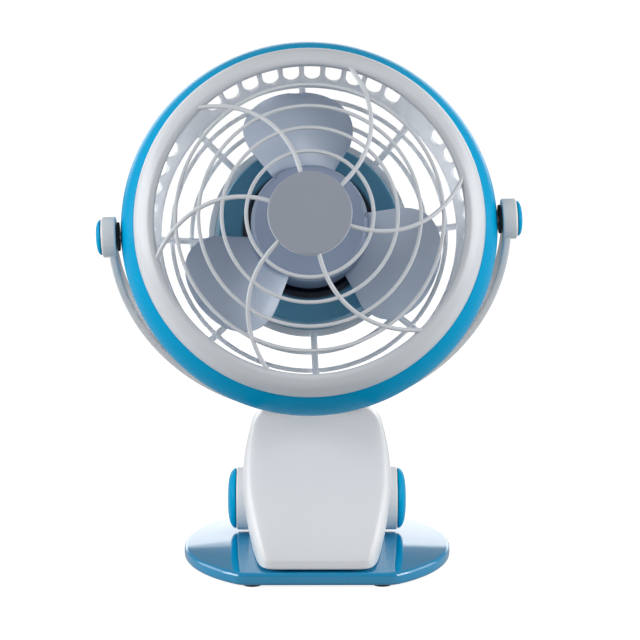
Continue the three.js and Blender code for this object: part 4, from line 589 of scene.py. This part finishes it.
def rear_bowl():
    shape = bowl_bosses()
    SlottedWall().add_to(shape)
    for radius in BOWL_RINGS:
        middle = bowl_face(radius) - BOWL_RING_SET
        shape.lathe([(radius + u, middle + v) for u, v in oval(*BOWL_RING_SECTION)], HEAD)
    shoulder = [(BOWL_SHOULDER - 1 + u, BOWL_SHOULDER_Y - 0.4 + v) for u, v in oval(*SHOULDER_SECTION)]
    shape.lathe(shoulder, HEAD)
    for number in range(BOWL_SPOKES):
        radii = [FLANGE_OUTER - 1.4 + (BOWL_SHOULDER - FLANGE_OUTER + 0.8) * i / 12 for i in range(13)]
        path = [clock(r, 360 / BOWL_SPOKES * number, bowl_face(r) - BOWL_SPOKE_SET) for r in radii]
        shape.add(*sweep(path, oval(*BOWL_SPOKE_SECTION, 14)), HEAD)
    front, back = BOWL_DOME_Y - FLANGE_THICKNESS, BOWL_DOME_Y
    flange = [(FLANGE_INNER, front), (FLANGE_OUTER, front), (FLANGE_OUTER, back), (FLANGE_INNER, back)]
    shape.lathe(fillet(flange, 0.5), HEAD)
    dressed(form("rear_bowl", shape), "head", "white_plastic", BOWL, "rear_bowl")


# ------------------------------------------------------------------ head: motor housing


def motor_cup():
    rib, rib_front = HUB_RADIUS + 1, CUP_FRONT - CUP_RIB_HEIGHT
    sleeve, sleeve_back, foot = SLEEVE_RADIUS, CUP_FRONT + SLEEVE_DEPTH, CUP_FRONT + CUP_WALL
    outline = [
        (SHAFT_HOLE, CUP_FRONT), (rib, CUP_FRONT), (rib, rib_front), (rib + CUP_RIB_WIDTH, rib_front),
        (rib + CUP_RIB_WIDTH, CUP_FRONT), (CUP_RADIUS - 0.6, CUP_FRONT), (CUP_RADIUS, CUP_FRONT + 0.8),
        (CUP_FLARE, CUP_BACK), (CUP_FLARE - CUP_WALL, CUP_BACK), (CUP_RADIUS - CUP_WALL, foot),
        (sleeve + SLEEVE_WALL, foot), (sleeve + SLEEVE_WALL, sleeve_back), (sleeve, sleeve_back),
        (sleeve, foot), (SHAFT_HOLE, foot),
    ]
    piece = form("motor_cup", Shape().lathe(fillet(outline, 0.45, 3), HEAD))
    places = [HEAD @ move(*clock(CUP_SCREW_CIRCLE, a)) for a in CUP_SCREW_ANGLES]
    post = rod(CUP_POST, CUP_FRONT + 1, CUP_BACK)
    carve(piece, "UNION", *[Shape().lathe(post, p, 24, False) for p in places])
    bores = [Shape().lathe(rod(SCREW_BORE, CUP_BACK - 8, CUP_BACK + 2), p, 16, False) for p in places]
    bore = rod(MOTOR_SCREW_BORE, CUP_FRONT - CUT, foot + CUT)
    for z in (-MOTOR_SCREW_OFFSET, MOTOR_SCREW_OFFSET):
        bores.append(Shape().lathe(bore, HEAD @ move(0, 0, z), 16, False))
    carve(piece, "DIFFERENCE", *bores)
    dressed(piece, "head", "cup_plastic", CUP, "motor_cup")


def dome(radius, foot, height, power=0.7, steps=20):
    """Half the outline of a dome, from its edge to its top."""
    out = []
    for k in range(steps):
        a = math.pi / 2 * k / steps
        out.append((radius * math.cos(a) ** power, foot + height * math.sin(a)))
    return out + [(0.0, foot + height)]


def motor_cover():
    foot = BOWL_DOME_Y + GAP
    inner = dome(CUP_FLARE - CUP_WALL, foot, COVER_DEPTH - CUP_WALL)
    outline = inner[::-1] + dome(CUP_FLARE, foot, COVER_DEPTH)
    shape = Shape().lathe(outline, HEAD, ROUND, False)
    dressed(form("motor_cover", shape), "head", "blue_plastic", BLUE, "motor_cover")


# ------------------------------------------------------------------ rotor


def blade_edges(radius):
    rounding = min(max((radius - BLADE_TIP_START) / (BLADE_TIP - BLADE_TIP_START), 0), 0.9985)
    share = (1 - rounding**BLADE_TIP_POWER) ** (1 / BLADE_TIP_POWER)
    rootward = max(BLADE_TIP_START + 4 - radius, 0)
    trailing = BLADE_CENTRE + (BLADE_TRAILING - BLADE_CENTRE) * share
    leading = BLADE_CENTRE + (BLADE_LEADING - 0.28 * rootward - BLADE_CENTRE) * share
    return trailing, leading


def blade_ring(radius, turned, chord=20):
    trailing, leading = blade_edges(radius)
    out = (radius - HUB_RADIUS) / (BLADE_TIP - HUB_RADIUS)
    depth = BLADE_ROOT_DEPTH + (BLADE_TIP_DEPTH - BLADE_ROOT_DEPTH) * out
    depth /= BLADE_LEADING - BLADE_TRAILING  # per degree round the hub
    front, back = [], []
    for k in range(chord + 1):
        s = -math.cos(math.pi * k / chord)
        degrees = trailing + (leading - trailing) * (s + 1) / 2
        y = BLADE_MIDDLE + (degrees - BLADE_CENTRE) * depth + BLADE_CAMBER * (1 - s * s)
        thick = BLADE_HALF_THICKNESS * (1 - s * s) ** 0.35 * min(1.0, (1.06 - out) * 8)
        front.append(clock(radius, turned + degrees, y - thick))
        back.append(clock(radius, turned + degrees, y + thick))
    return front + back[::-1][1:-1]


def blade(turned, rows=40):
    shares = [min(-0.03 + 1.03 * math.sin(math.pi / 2 * row / rows), 1) for row in range(rows + 1)]
    return [blade_ring(HUB_RADIUS + (BLADE_TIP - HUB_RADIUS) * share, turned) for share in shares]


def fan_blades():
    inside, stub = HUB_FRONT + 2.6, CUP_FRONT - 6
    outline = [
        (0, HUB_FRONT - 0.6), (12, HUB_FRONT - 0.4), (HUB_RADIUS - 1.2, HUB_FRONT),
        (HUB_RADIUS, HUB_FRONT + 1.6), (HUB_RADIUS, HUB_BACK), (HUB_RADIUS - 2, HUB_BACK),
        (HUB_RADIUS - 2, inside), (4, inside),
        (3.4, stub), (1.3, stub), (1.3, inside + 0.4), (0, inside + 0.4),
    ]
    radii = [0, 3, 1.6, 1.2, 0.5, 0.5, 1, 0.5, 0.2, 0.2, 0.2, 0]
    shape = Shape().lathe(fillet(outline, radii, 5, False), HEAD, ROUND, False)
    for number in range(BLADES):
        shape.loft(blade(BLADE_TURN + 360 / BLADES * number), HEAD)
    dressed(form("fan_blades", shape), "rotor", "translucent_blade", BLADE, "fan_blades")


# ------------------------------------------------------------------ yoke


def yoke_bracket():
    half = STRAP_WIDTH / 2
    section = [(STRAP_INNER, -half), (STRAP_OUTER, -half), (STRAP_OUTER, half), (STRAP_INNER, half)]
    strap = Shape().lathe(fillet(section, 0.9, 4), YOKE, 120, True, (90, 270))
    piece = form("yoke_bracket", strap)
    inner = STRAP_INNER - BOSS_INSET
    boss = [(0, inner), (PIVOT_BOSS, inner), (PIVOT_BOSS, PIVOT_REACH), (0, PIVOT_REACH)]
    boss = fillet(boss, [0, 0.5, 0.9, 0], 4, False)
    stem = rod(STEM_RADIUS, -STEM_END, -STRAP_INNER - 1, SMALL_EDGE)
    carve(piece, "UNION", *[Shape().lathe(boss, YOKE @ SIDE[side], 64, False) for side in (-1, 1)])
    carve(piece, "UNION", Shape().lathe(stem, YOKE @ UPRIGHT, 48, False))
    bore = rod(PIVOT_BORE, STRAP_INNER - 2, PIVOT_REACH + CUT)
    pocket = rod(PIVOT_POCKET, PIVOT_FLOOR, PIVOT_REACH + CUT)
    for side in (-1, 1):
        carve(piece, "DIFFERENCE", Shape().lathe(pocket, YOKE @ SIDE[side], 40, False))
        carve(piece, "DIFFERENCE", Shape().lathe(bore, YOKE @ SIDE[side], 24, False))
    swivel = rod(SWIVEL_BORE, -STEM_END - CUT, -STRAP_INNER - 1.3)
    carve(piece, "DIFFERENCE", Shape().lathe(swivel, YOKE @ UPRIGHT, 24, False))
    dressed(piece, "yoke", "white_plastic", WHITE, "yoke_bracket")


def cap(name, body, place, radius, foot, height):
    outline = [(0.0, foot), *dome(radius, foot, height, 0.6, 18)]
    shape = Shape().lathe(fillet(outline, 0.15, 2, False), place, 72, False)
    dressed(form(name, shape), body, "blue_plastic", BLUE, name)


def yoke_trim():
    for side, word in ((-1, "left"), (1, "right")):
        place, foot = YOKE @ SIDE[side], PIVOT_REACH + GAP
        cap(f"pivot_cap_{word}", "yoke", place, PIVOT_CAP_RADIUS, foot, PIVOT_CAP_HEIGHT)
        low, high = RIM_RADIUS + GAP, STRAP_INNER - BOSS_INSET - GAP
        ring = [(PIVOT_BORE, low), (WASHER_RADIUS, low), (WASHER_RADIUS, high), (PIVOT_BORE, high)]
        shape = Shape().lathe(fillet(ring, 0.2, 3), YOKE @ SIDE[side], 48)
        name = f"pivot_washer_{word}"
        dressed(form(name, shape), "yoke", "black_plastic", RUBBER, name)


# ------------------------------------------------------------------ base


def arc(x, y, radius, start, end, steps):
    angles = [start + (end - start) * k / steps for k in range(steps)]
    return [(x + radius * math.cos(a), y + radius * math.sin(a)) for a in angles]


def plate_outline(inset):
    """The base's round outline with its straight front, drawn in by an inset."""
    cy = BASE_CORNER - BASE_FRONT
    cx = math.sqrt((BASE_RADIUS - BASE_CORNER) ** 2 - cy**2)
    meet = math.atan2(cy, cx)
    corner = BASE_CORNER - inset
    return (
        arc(-cx, cy, corner, math.pi - meet, 1.5 * math.pi, 14)
        + [(-cx, cy - corner)]
        + arc(cx, cy, corner, -math.pi / 2, meet, 14)
        + arc(0, 0, BASE_RADIUS - inset, meet, math.pi - meet, 110)
    )


def plate_rings():
    rings = []
    for k in range(13):
        a = math.pi * (k / 12 - 0.5)
        middle = PLATE_TOP - BASE_EDGE if k > 6 else PLATE_BOTTOM + BASE_EDGE
        z = middle + BASE_EDGE * math.sin(a)
        inset = BASE_EDGE * (1 - math.cos(a))
        rings.append([(x, y, z) for x, y in plate_outline(inset)])
        if k == 6:
            rings.append([(x, y, PLATE_TOP - BASE_EDGE) for x, y in plate_outline(0)])
    return rings


def hinge_ear(x):
    outline = [(-EAR_RADIUS, EAR_FOOT), (EAR_RADIUS, EAR_FOOT)]
    for k in range(25):
        a = math.pi * k / 24
        outline.append((EAR_RADIUS * math.cos(a), EAR_RADIUS * math.sin(a)))
    sides = (x - EAR_HALF, x + EAR_HALF)
    return Shape().loft([[(s, HINGE[1] + u, HINGE[2] + v) for u, v in outline] for s in sides])


def base_plate():
    piece = form("base_plate", Shape().loft(plate_rings()))
    carve(piece, "UNION", *[hinge_ear(x) for x in (-EAR_OFFSET, EAR_OFFSET)])
    pin = Shape().lathe(rod(PIN_RADIUS + GAP, -PIN_CUT, PIN_CUT), move(*HINGE) @ SIDE[1], 32, False)
    socket = rod(FOOT_RADIUS + GAP, 0, PLATE_BOTTOM + FOOT_SINK)
    sockets = [Shape().lathe(socket, move(x, y, 0) @ UPRIGHT, 40, False) for x, y in FEET.values()]
    carve(piece, "DIFFERENCE", pin, *sockets)
    dressed(piece, "base", "blue_plastic", PLATE, "base_plate")


def feet():
    for word, (x, y) in FEET.items():
        outline = fillet([(0, 0), (FOOT_RADIUS, 0), (FOOT_RADIUS, 2), (0, 2)], [0, 0.5, 0.2, 0], 4, False)
        shape = Shape().lathe(outline, move(x, y, 0) @ UPRIGHT, 48, False)
        dressed(form(f"foot_{word}", shape), "base", "rubber_pad", RUBBER, f"foot_{word}")


# ------------------------------------------------------------------ clip body


def clamp(value, low, high):
    return max(low, min(value, high))


def rise(z):
    return clamp((z - LIP_TOP) / (BODY_TOP - LIP_TOP), 0, 1)


def body_front(z):
    return CREST_FRONT - (1 - rise(z) ** RISE_POWER) ** FACE_POWER * (CREST_FRONT + BODY_FRONT)


def body_back(z):
    up = clamp((z - REAR_TURN_Z) / (BODY_TOP - REAR_TURN_Z), 0, 1)
    rear = CREST_BACK + (BODY_BACK - CREST_BACK) * math.sqrt(1 - up * up)
    return min(rear, HEEL_BACK + max(z - BODY_BOTTOM, 0) / HEEL_SLOPE)


def body_half(z):
    above = z > WIDEST_Z
    span = BODY_TOP - WIDEST_Z if above else WIDEST_Z - BODY_BOTTOM
    taper = CREST_TAPER if above else FOOT_TAPER
    over = clamp(z - (BODY_TOP - CREST_ROUND), 0, CREST_ROUND)
    rounding = CREST_ROUND - math.sqrt(CREST_ROUND**2 - over * over)
    return BODY_HALF * (1 - taper * ((z - WIDEST_Z) / span) ** 2) - rounding


def body_ring(z, front, back, half, steps=144):
    """The plan at one level: round behind, narrower and squarer towards the lip."""
    middle = PLAN_MIDDLE + ((front + back) / 2 - PLAN_MIDDLE) * rise(z) ** 2
    taper = JAW_TAPER * (1 - rise(z))
    ring = []
    for k in range(steps):
        a = (k + 0.5) * 2 * math.pi / steps - math.pi / 2
        c, s = math.cos(a), math.sin(a)
        power = 2 / (FACE_SQUARENESS if s < 0 else REAR_SQUARENESS)
        y = middle + abs(s) ** power * ((front if s < 0 else back) - middle)
        forward = max(0, PLAN_MIDDLE - y) / (PLAN_MIDDLE + BODY_FRONT)
        side = math.copysign(abs(c) ** power, c)
        ring.append((side * half * (1 - taper * forward**JAW_POWER), y, z))
    return ring


def level_ring(z, inset=0):
    return body_ring(z, body_front(z) + inset, body_back(z) - inset, body_half(z) - inset)


def body_form(edge=0.9, lower=24, upper=36):
    """Rings from the rounded bottom edge to the lip's crease, the lower face and the crest."""
    rings = []
    for k in range(6):
        a = math.pi / 2 * k / 5
        inset, z = edge * (1 - math.sin(a)), BODY_BOTTOM + edge * (1 - math.cos(a))
        rings.append(level_ring(z, inset))
    for share in (0.4, 0.8, 0.94):
        rings.append(level_ring(BODY_BOTTOM + edge + (LIP_TOP - BODY_BOTTOM - edge) * share))
    height = BODY_TOP - LIP_TOP
    for k in range(lower):
        rings.append(level_ring(LIP_TOP + height * (k / (lower + upper)) ** 1.5))
    low = LIP_TOP + height * (lower / (lower + upper)) ** 1.5
    for k in range(upper + 1):
        rings.append(level_ring(low + (BODY_TOP - low) * math.sin(math.pi / 2 * k / upper)))
    return Shape().loft(rings)


def body_cavity(levels=12):
    low, high = BODY_BOTTOM + FLOOR_THICKNESS, BODY_TOP - BODY_WALL
    rings = []
    for k in range(levels + 1):
        z = low + (high - low) * math.sin(math.pi / 2 * k / levels)
        front = body_front(z + BODY_WALL) + BODY_WALL
        back = min(body_back(z + BODY_WALL), body_back(z - BODY_WALL)) - BODY_WALL
        half = body_half(z) - BODY_WALL - 0.2
        rings.append(body_ring(z, front, max(back, front + 1), half, 48))
    return Shape().loft(rings)


def underside_ring(z):
    ring = body_ring(BODY_BOTTOM, -OPENING_FRONT, OPENING_BACK, OPENING_HALF, 64)
    return [(x, y, z) for x, y, _ in ring]


def upright_rod(radius, x, y, low, high):
    return Shape().lathe(rod(radius, low, high), move(x, y, 0) @ UPRIGHT, 32, False)


def seat_rod(radius, low, high):
    return Shape().lathe(rod(radius, low, high), SEAT_FRAME @ UPRIGHT, 48, False)


def body_inside():
    """What is cut out of the body: its cavity, less the bosses that stand in it."""
    piece = form("inside", body_cavity())
    opening = [underside_ring(z) for z in (BODY_BOTTOM - CUT, BODY_BOTTOM + OPENING_DEPTH)]
    carve(piece, "UNION", Shape().loft(opening))
    x, y = FLOOR_SCREW
    foot = BODY_BOTTOM + COLUMN_FOOT
    columns = [upright_rod(COLUMN_RADIUS, s * x, y, foot, BODY_TOP) for s in (-1, 1)]
    carve(piece, "DIFFERENCE", seat_rod(SEAT_BOSS, -SEAT_BOSS_DEPTH, 6), *columns)
    return piece


def body_shell():
    piece = form("body_shell", body_form())
    inner = BODY_HALF - 3
    boss = [(0, inner), (HINGE_BOSS, inner), (HINGE_BOSS, BODY_REACH), (0, BODY_REACH)]
    boss = fillet(boss, [0, 0, 0.6, 0], 4, False)
    carve(piece, "UNION", *[Shape().lathe(boss, move(*HINGE) @ SIDE[side], 96, False) for side in (-1, 1)])
    carve(piece, "DIFFERENCE", body_inside())
    x, y = FLOOR_SCREW
    low, high = BOARD_FACE - CUT, BODY_BACK + CUT
    bore = BODY_BOTTOM - CUT, BODY_BOTTOM + COLUMN_BORE_DEPTH
    cuts = [
        seat_rod(STEM_RADIUS + GAP, 0, SEAT_DEPTH), seat_rod(SWIVEL_BORE, -4, 1),
        Shape().lathe(rod(PIN_RADIUS + GAP, -PIN_CUT, PIN_CUT), move(*HINGE) @ SIDE[1], 32, False),
        *[upright_rod(SCREW_BORE, s * x, y, *bore) for s in (-1, 1)],
        pad_block(GAP, BODY_BOTTOM - CUT, BODY_BOTTOM + LIP_PAD_POCKET),
        Shape().loft([[(u, v, SOCKET_Z + w) for u, w in socket_outline()] for v in (low, high)]),
        Shape().lathe(rod(BUTTON_BORE, low, high), move(0, 0, BUTTON_Z), 48, False),
    ]
    carve(piece, "DIFFERENCE", *cuts)
    dressed(piece, "clip_body", "white_plastic", WHITE, "body_shell")


def socket_outline():
    """The hole for the charging socket, with a gap all round it."""
    half, high = SOCKET_HALF + GAP, SOCKET_HALF_HEIGHT + GAP
    return fillet([(-half, -high), (half, -high), (half, high), (-half, high)], 1.2, 5)


def pad_block(grow, low, high):
    """A strip along the lip, a little behind its edge."""
    half, front, back = LIP_PAD_HALF + grow, LIP_PAD_FRONT - grow, LIP_PAD_BACK + grow
    plan = fillet([(-half, front), (half, front), (half, back), (-half, back)], 1.5, 4)
    return Shape().loft([[(x, y, z) for x, y in plan] for z in (low, high)])


def lip_pad():
    piece = form("lip_pad", pad_block(0, PLATE_TOP + GAP, BODY_BOTTOM + LIP_PAD_SUNK))
    dressed(piece, "clip_body", "rubber_pad", RUBBER, "lip_pad")


def power_button():
    front = BOARD_FACE + SWITCH_REACH + GAP + BUTTON_TRAVEL
    step = front + BUTTON_FLANGE_DEPTH
    outline = [
        (0, front), (BUTTON_FLANGE, front), (BUTTON_FLANGE, step), (BUTTON_RADIUS, step),
        (BUTTON_RADIUS, BUTTON_BACK), (3.2, BUTTON_BACK), (2.4, BUTTON_BACK - 0.35),
        (0, BUTTON_BACK - 0.5),
    ]
    outline = fillet(outline, [0, 0.2, 0.2, 0.2, 0.6, 0.5, 0.6, 0], 4, False)
    piece = form("power_button", Shape().lathe(outline, move(0, 0, BUTTON_Z), 48, False))
    dressed(piece, "button", "blue_plastic", BLUE, "power_button")


def hinge_caps():
    for side, word in ((-1, "left"), (1, "right")):
        place = move(*HINGE) @ SIDE[side]
        cap(f"hinge_cap_{word}", "clip_body", place, CAP_RADIUS, BODY_REACH + GAP, CAP_HEIGHT)


# ------------------------------------------------------------------ screws that show

SHANK_RADIUS, HOUSING_SCREW_TIP = 1.3, -3.6
FLOOR_SCREW_SUNK, FLOOR_SCREW_LENGTH = 1.5, 12
CROSS_HALF, CROSS_REACH, CROSS_FOOT = 0.28, 0.3, 0.35  # the recess: mm, then shares of the head


def screw(name, body, place, radius, seat, height, shank, tip):
    """A pan head with a cross recess on a plain shank, its head towards +y."""
    top = seat + height
    head = [(shank, seat), (radius, seat), (radius, seat + height * 0.6), (radius * 0.5, top), (0, top)]
    outline = [(0, tip), (shank, tip + 0.6), *head]
    shape = Shape().lathe(fillet(outline, [0, 0, 0.1, 0.2, 0.5, 0.6, 0], 3, False), place, 32, False)
    piece = form(name, shape)
    for turned in (0, 90):
        low, high = seat + height * CROSS_FOOT, top + CUT
        half, reach = CROSS_HALF, radius * CROSS_REACH
        bar = [(-half, low, -reach), (half, low, -reach), (half, low, reach), (-half, low, reach)]
        wide = [(x * 1.3, high, z * 2.0) for x, _, z in bar]
        carve(piece, "DIFFERENCE", Shape().loft([bar, wide], place @ turn("Y", turned)))
    dressed(piece, body, "steel", STEEL, name)


def screws():
    seat = BOSS_BACK - POCKET_DEPTH + GAP
    for degrees in SCREW_ANGLES:
        place = HEAD @ move(*clock(SCREW_CIRCLE, degrees))
        screw(f"housing_screw_{degrees}", "head", place, 2.2, seat, 1.3, SHANK_RADIUS, HOUSING_SCREW_TIP)
    x, y = FLOOR_SCREW
    seat = BODY_BOTTOM + FLOOR_SCREW_SUNK
    for side, word in ((-1, "left"), (1, "right")):
        place = move(side * x, y, 0) @ turn("X", -90)
        tip = -seat - FLOOR_SCREW_LENGTH
        screw(f"floor_screw_{word}", "clip_body", place, 2.5, -seat, 1.2, SHANK_RADIUS, tip)


# ------------------------------------------------------------------ making it all

for build in (
    front_grille, grille_disc, rim_band, rear_bowl, motor_cup, motor_cover, fan_blades, yoke_bracket,
    yoke_trim, base_plate, feet, body_shell, lip_pad, power_button, hinge_caps, screws,
):
    build()

# the nodes that are shown as they come, each with its material
KEPT = {
    STEEL: "hinge_pin clip_spring charge_socket swivel_washer swivel_screw motor_can motor_shaft "
    "pivot_screw_left pivot_screw_right cup_screw_30 cup_screw_150 cup_screw_270 motor_screw_upper "
    "motor_screw_lower",
    RUBBER: "tact_switch",
    WHITE: "body_floor",
    CELL: "battery_cell",
    BOARD: "control_board",
    FERRITE: "motor_end_cap motor_magnet_left motor_magnet_right",
    BRASS: "front_bearing rear_bearing",
    COPPER: "motor_armature",
}
for material, names in KEPT.items():
    for name in names.split():
        NODES[name].data.materials.clear()
        NODES[name].data.materials.append(material)

# ------------------------------------------------------------------ floor, lights, camera

FLOOR_REACH, FLOOR_SHADE = 6.0, 0.42
FLOOR_SEEN, FLOOR_GLOSS = 0.9, 0.15  # what is added to the floor for the camera and in gloss
SKY_HIGH, SKY_LOW = 0.42, 0.24  # light from overhead and from the horizon
SKY_TOP = 0.9  # the height of a direction from which the first holds
ROOM = 0.25  # brightness of the room in gloss, away from the backdrop
BACKDROP = 2.0  # brightness of the backdrop in gloss
BACKDROP_EDGE = 0.276, 0.292  # where it ends upwards, as the height of a direction
BACKDROP_SIDE = 0.80, 0.95  # where it starts, as how far a direction points to the rear
LAMP_TARGET, LAMP_SIZE, LAMP_OUT, LAMP_HEIGHT = (0, 0, 0.13), 0.6, 0.9, 0.35
FRONT_LAMP, SIDE_LAMP = (-0.35, 6.3), (0.20, 2.2)  # each pair's y and power
LAMP_SHIFT = 0.2  # how much weaker the right lamp of a pair is, and how much stronger the left
CAMERA_PLACE, CAMERA_TARGET = (-0.00287, -0.89292, 0.26087), (0.00118, 0.0, 0.09666)
CAMERA_LENS, CAMERA_SENSOR = 129.8, 36.0


def math_node(tree, operation, first, second):
    node = tree.nodes.new("ShaderNodeMath")
    node.operation = operation
    for socket, value in zip(node.inputs, (first, second)):
        if isinstance(value, (int, float)):
            socket.default_value = value
        else:
            tree.links.new(value, socket)
    return node.outputs[0]


def ramp(tree, value, low, high, start, end):
    node = tree.nodes.new("ShaderNodeMapRange")
    node.interpolation_type = "SMOOTHSTEP"
    for name, level in zip(("From Min", "From Max", "To Min", "To Max"), (low, high, start, end)):
        node.inputs[name].default_value = level
    tree.links.new(value, node.inputs["Value"])
    return node.outputs["Result"]


def mixed(tree, share, first, second):
    """first where share is 0 and second where it is 1."""
    more = math_node(tree, "MULTIPLY", math_node(tree, "SUBTRACT", second, first), share)
    return math_node(tree, "ADD", first, more)


def seen(tree, lit, in_gloss, shown):
    """lit for the rays that light things, in_gloss for reflections, shown for the camera."""
    path = tree.nodes.new("ShaderNodeLightPath").outputs
    direct = math_node(tree, "MAXIMUM", path["Is Camera Ray"], path["Is Transmission Ray"])
    return mixed(tree, direct, mixed(tree, path["Is Glossy Ray"], lit, in_gloss), shown)


def aim(name, data, place, target):
    """Adds a lamp or a camera that points at a target."""
    thing = add_object(name, data)
    thing.location = place
    thing.rotation_euler = (Vector(target) - Vector(place)).to_track_quat("-Z", "Y").to_euler()
    return thing


def make_lamp(name, place, power):
    data = bpy.data.lights.new(name, "AREA")
    data.shape = "RECTANGLE"
    data.size = data.size_y = LAMP_SIZE
    data.energy = power
    aim(name, data, place, LAMP_TARGET)


def make_lamps():
    for side, word in ((-1, "left"), (1, "right")):
        for kind, (y, power) in (("front", FRONT_LAMP), ("side", SIDE_LAMP)):
            place = (side * LAMP_OUT, y, LAMP_HEIGHT)
            make_lamp(f"{word}_{kind}", place, power - side * LAMP_SHIFT)


def floor_material():
    """Matt white that keeps the object's shadow and is brightened where it is seen."""
    material = bpy.data.materials.new("floor_white")
    material.use_nodes = True
    tree = material.node_tree
    link = tree.links.new
    tree.nodes.clear()
    out = tree.nodes.new("ShaderNodeOutputMaterial")
    matt = tree.nodes.new("ShaderNodeBsdfDiffuse")
    matt.inputs["Color"].default_value = (FLOOR_SHADE, FLOOR_SHADE, FLOOR_SHADE, 1)
    glow = tree.nodes.new("ShaderNodeEmission")
    link(seen(tree, 0.0, FLOOR_GLOSS, FLOOR_SEEN), glow.inputs["Strength"])
    both = tree.nodes.new("ShaderNodeAddShader")
    link(matt.outputs[0], both.inputs[0])
    link(glow.outputs[0], both.inputs[1])
    link(both.outputs[0], out.inputs["Surface"])
    return material


def make_floor():
    mesh = bpy.data.meshes.new("floor")
    reach = FLOOR_REACH
    corners = [(-reach, -reach, 0), (reach, -reach, 0), (reach, reach, 0), (-reach, reach, 0)]
    mesh.from_pydata(corners, [], [(0, 1, 2, 3)])
    mesh.materials.append(floor_material())
    add_object("floor", mesh)


def make_world():
    world = bpy.data.worlds.new("studio")
    bpy.context.scene.world = world
    world.use_nodes = True
    tree = world.node_tree
    axes = tree.nodes.new("ShaderNodeSeparateXYZ")
    place = tree.nodes.new("ShaderNodeTexCoord")
    tree.links.new(place.outputs["Generated"], axes.inputs["Vector"])
    behind = ramp(tree, axes.outputs["Y"], *BACKDROP_SIDE, 0.0, 1.0)
    low = ramp(tree, axes.outputs["Z"], *BACKDROP_EDGE, 1.0, 0.0)
    backdrop = mixed(tree, math_node(tree, "MULTIPLY", behind, low), ROOM, BACKDROP)
    sky = ramp(tree, axes.outputs["Z"], 0.0, SKY_TOP, SKY_LOW, SKY_HIGH)
    tree.links.new(seen(tree, sky, backdrop, 1.0), tree.nodes["Background"].inputs["Strength"])
    tree.nodes["Background"].inputs["Color"].default_value = (1, 1, 1, 1)


def make_camera():
    data = bpy.data.cameras.new("camera")
    data.lens = CAMERA_LENS
    data.sensor_width = CAMERA_SENSOR
    bpy.context.scene.camera = aim("camera", data, CAMERA_PLACE, CAMERA_TARGET)


make_floor()
make_world()
make_lamps()
make_camera()
bpy.context.scene.view_settings.view_transform = "Standard"
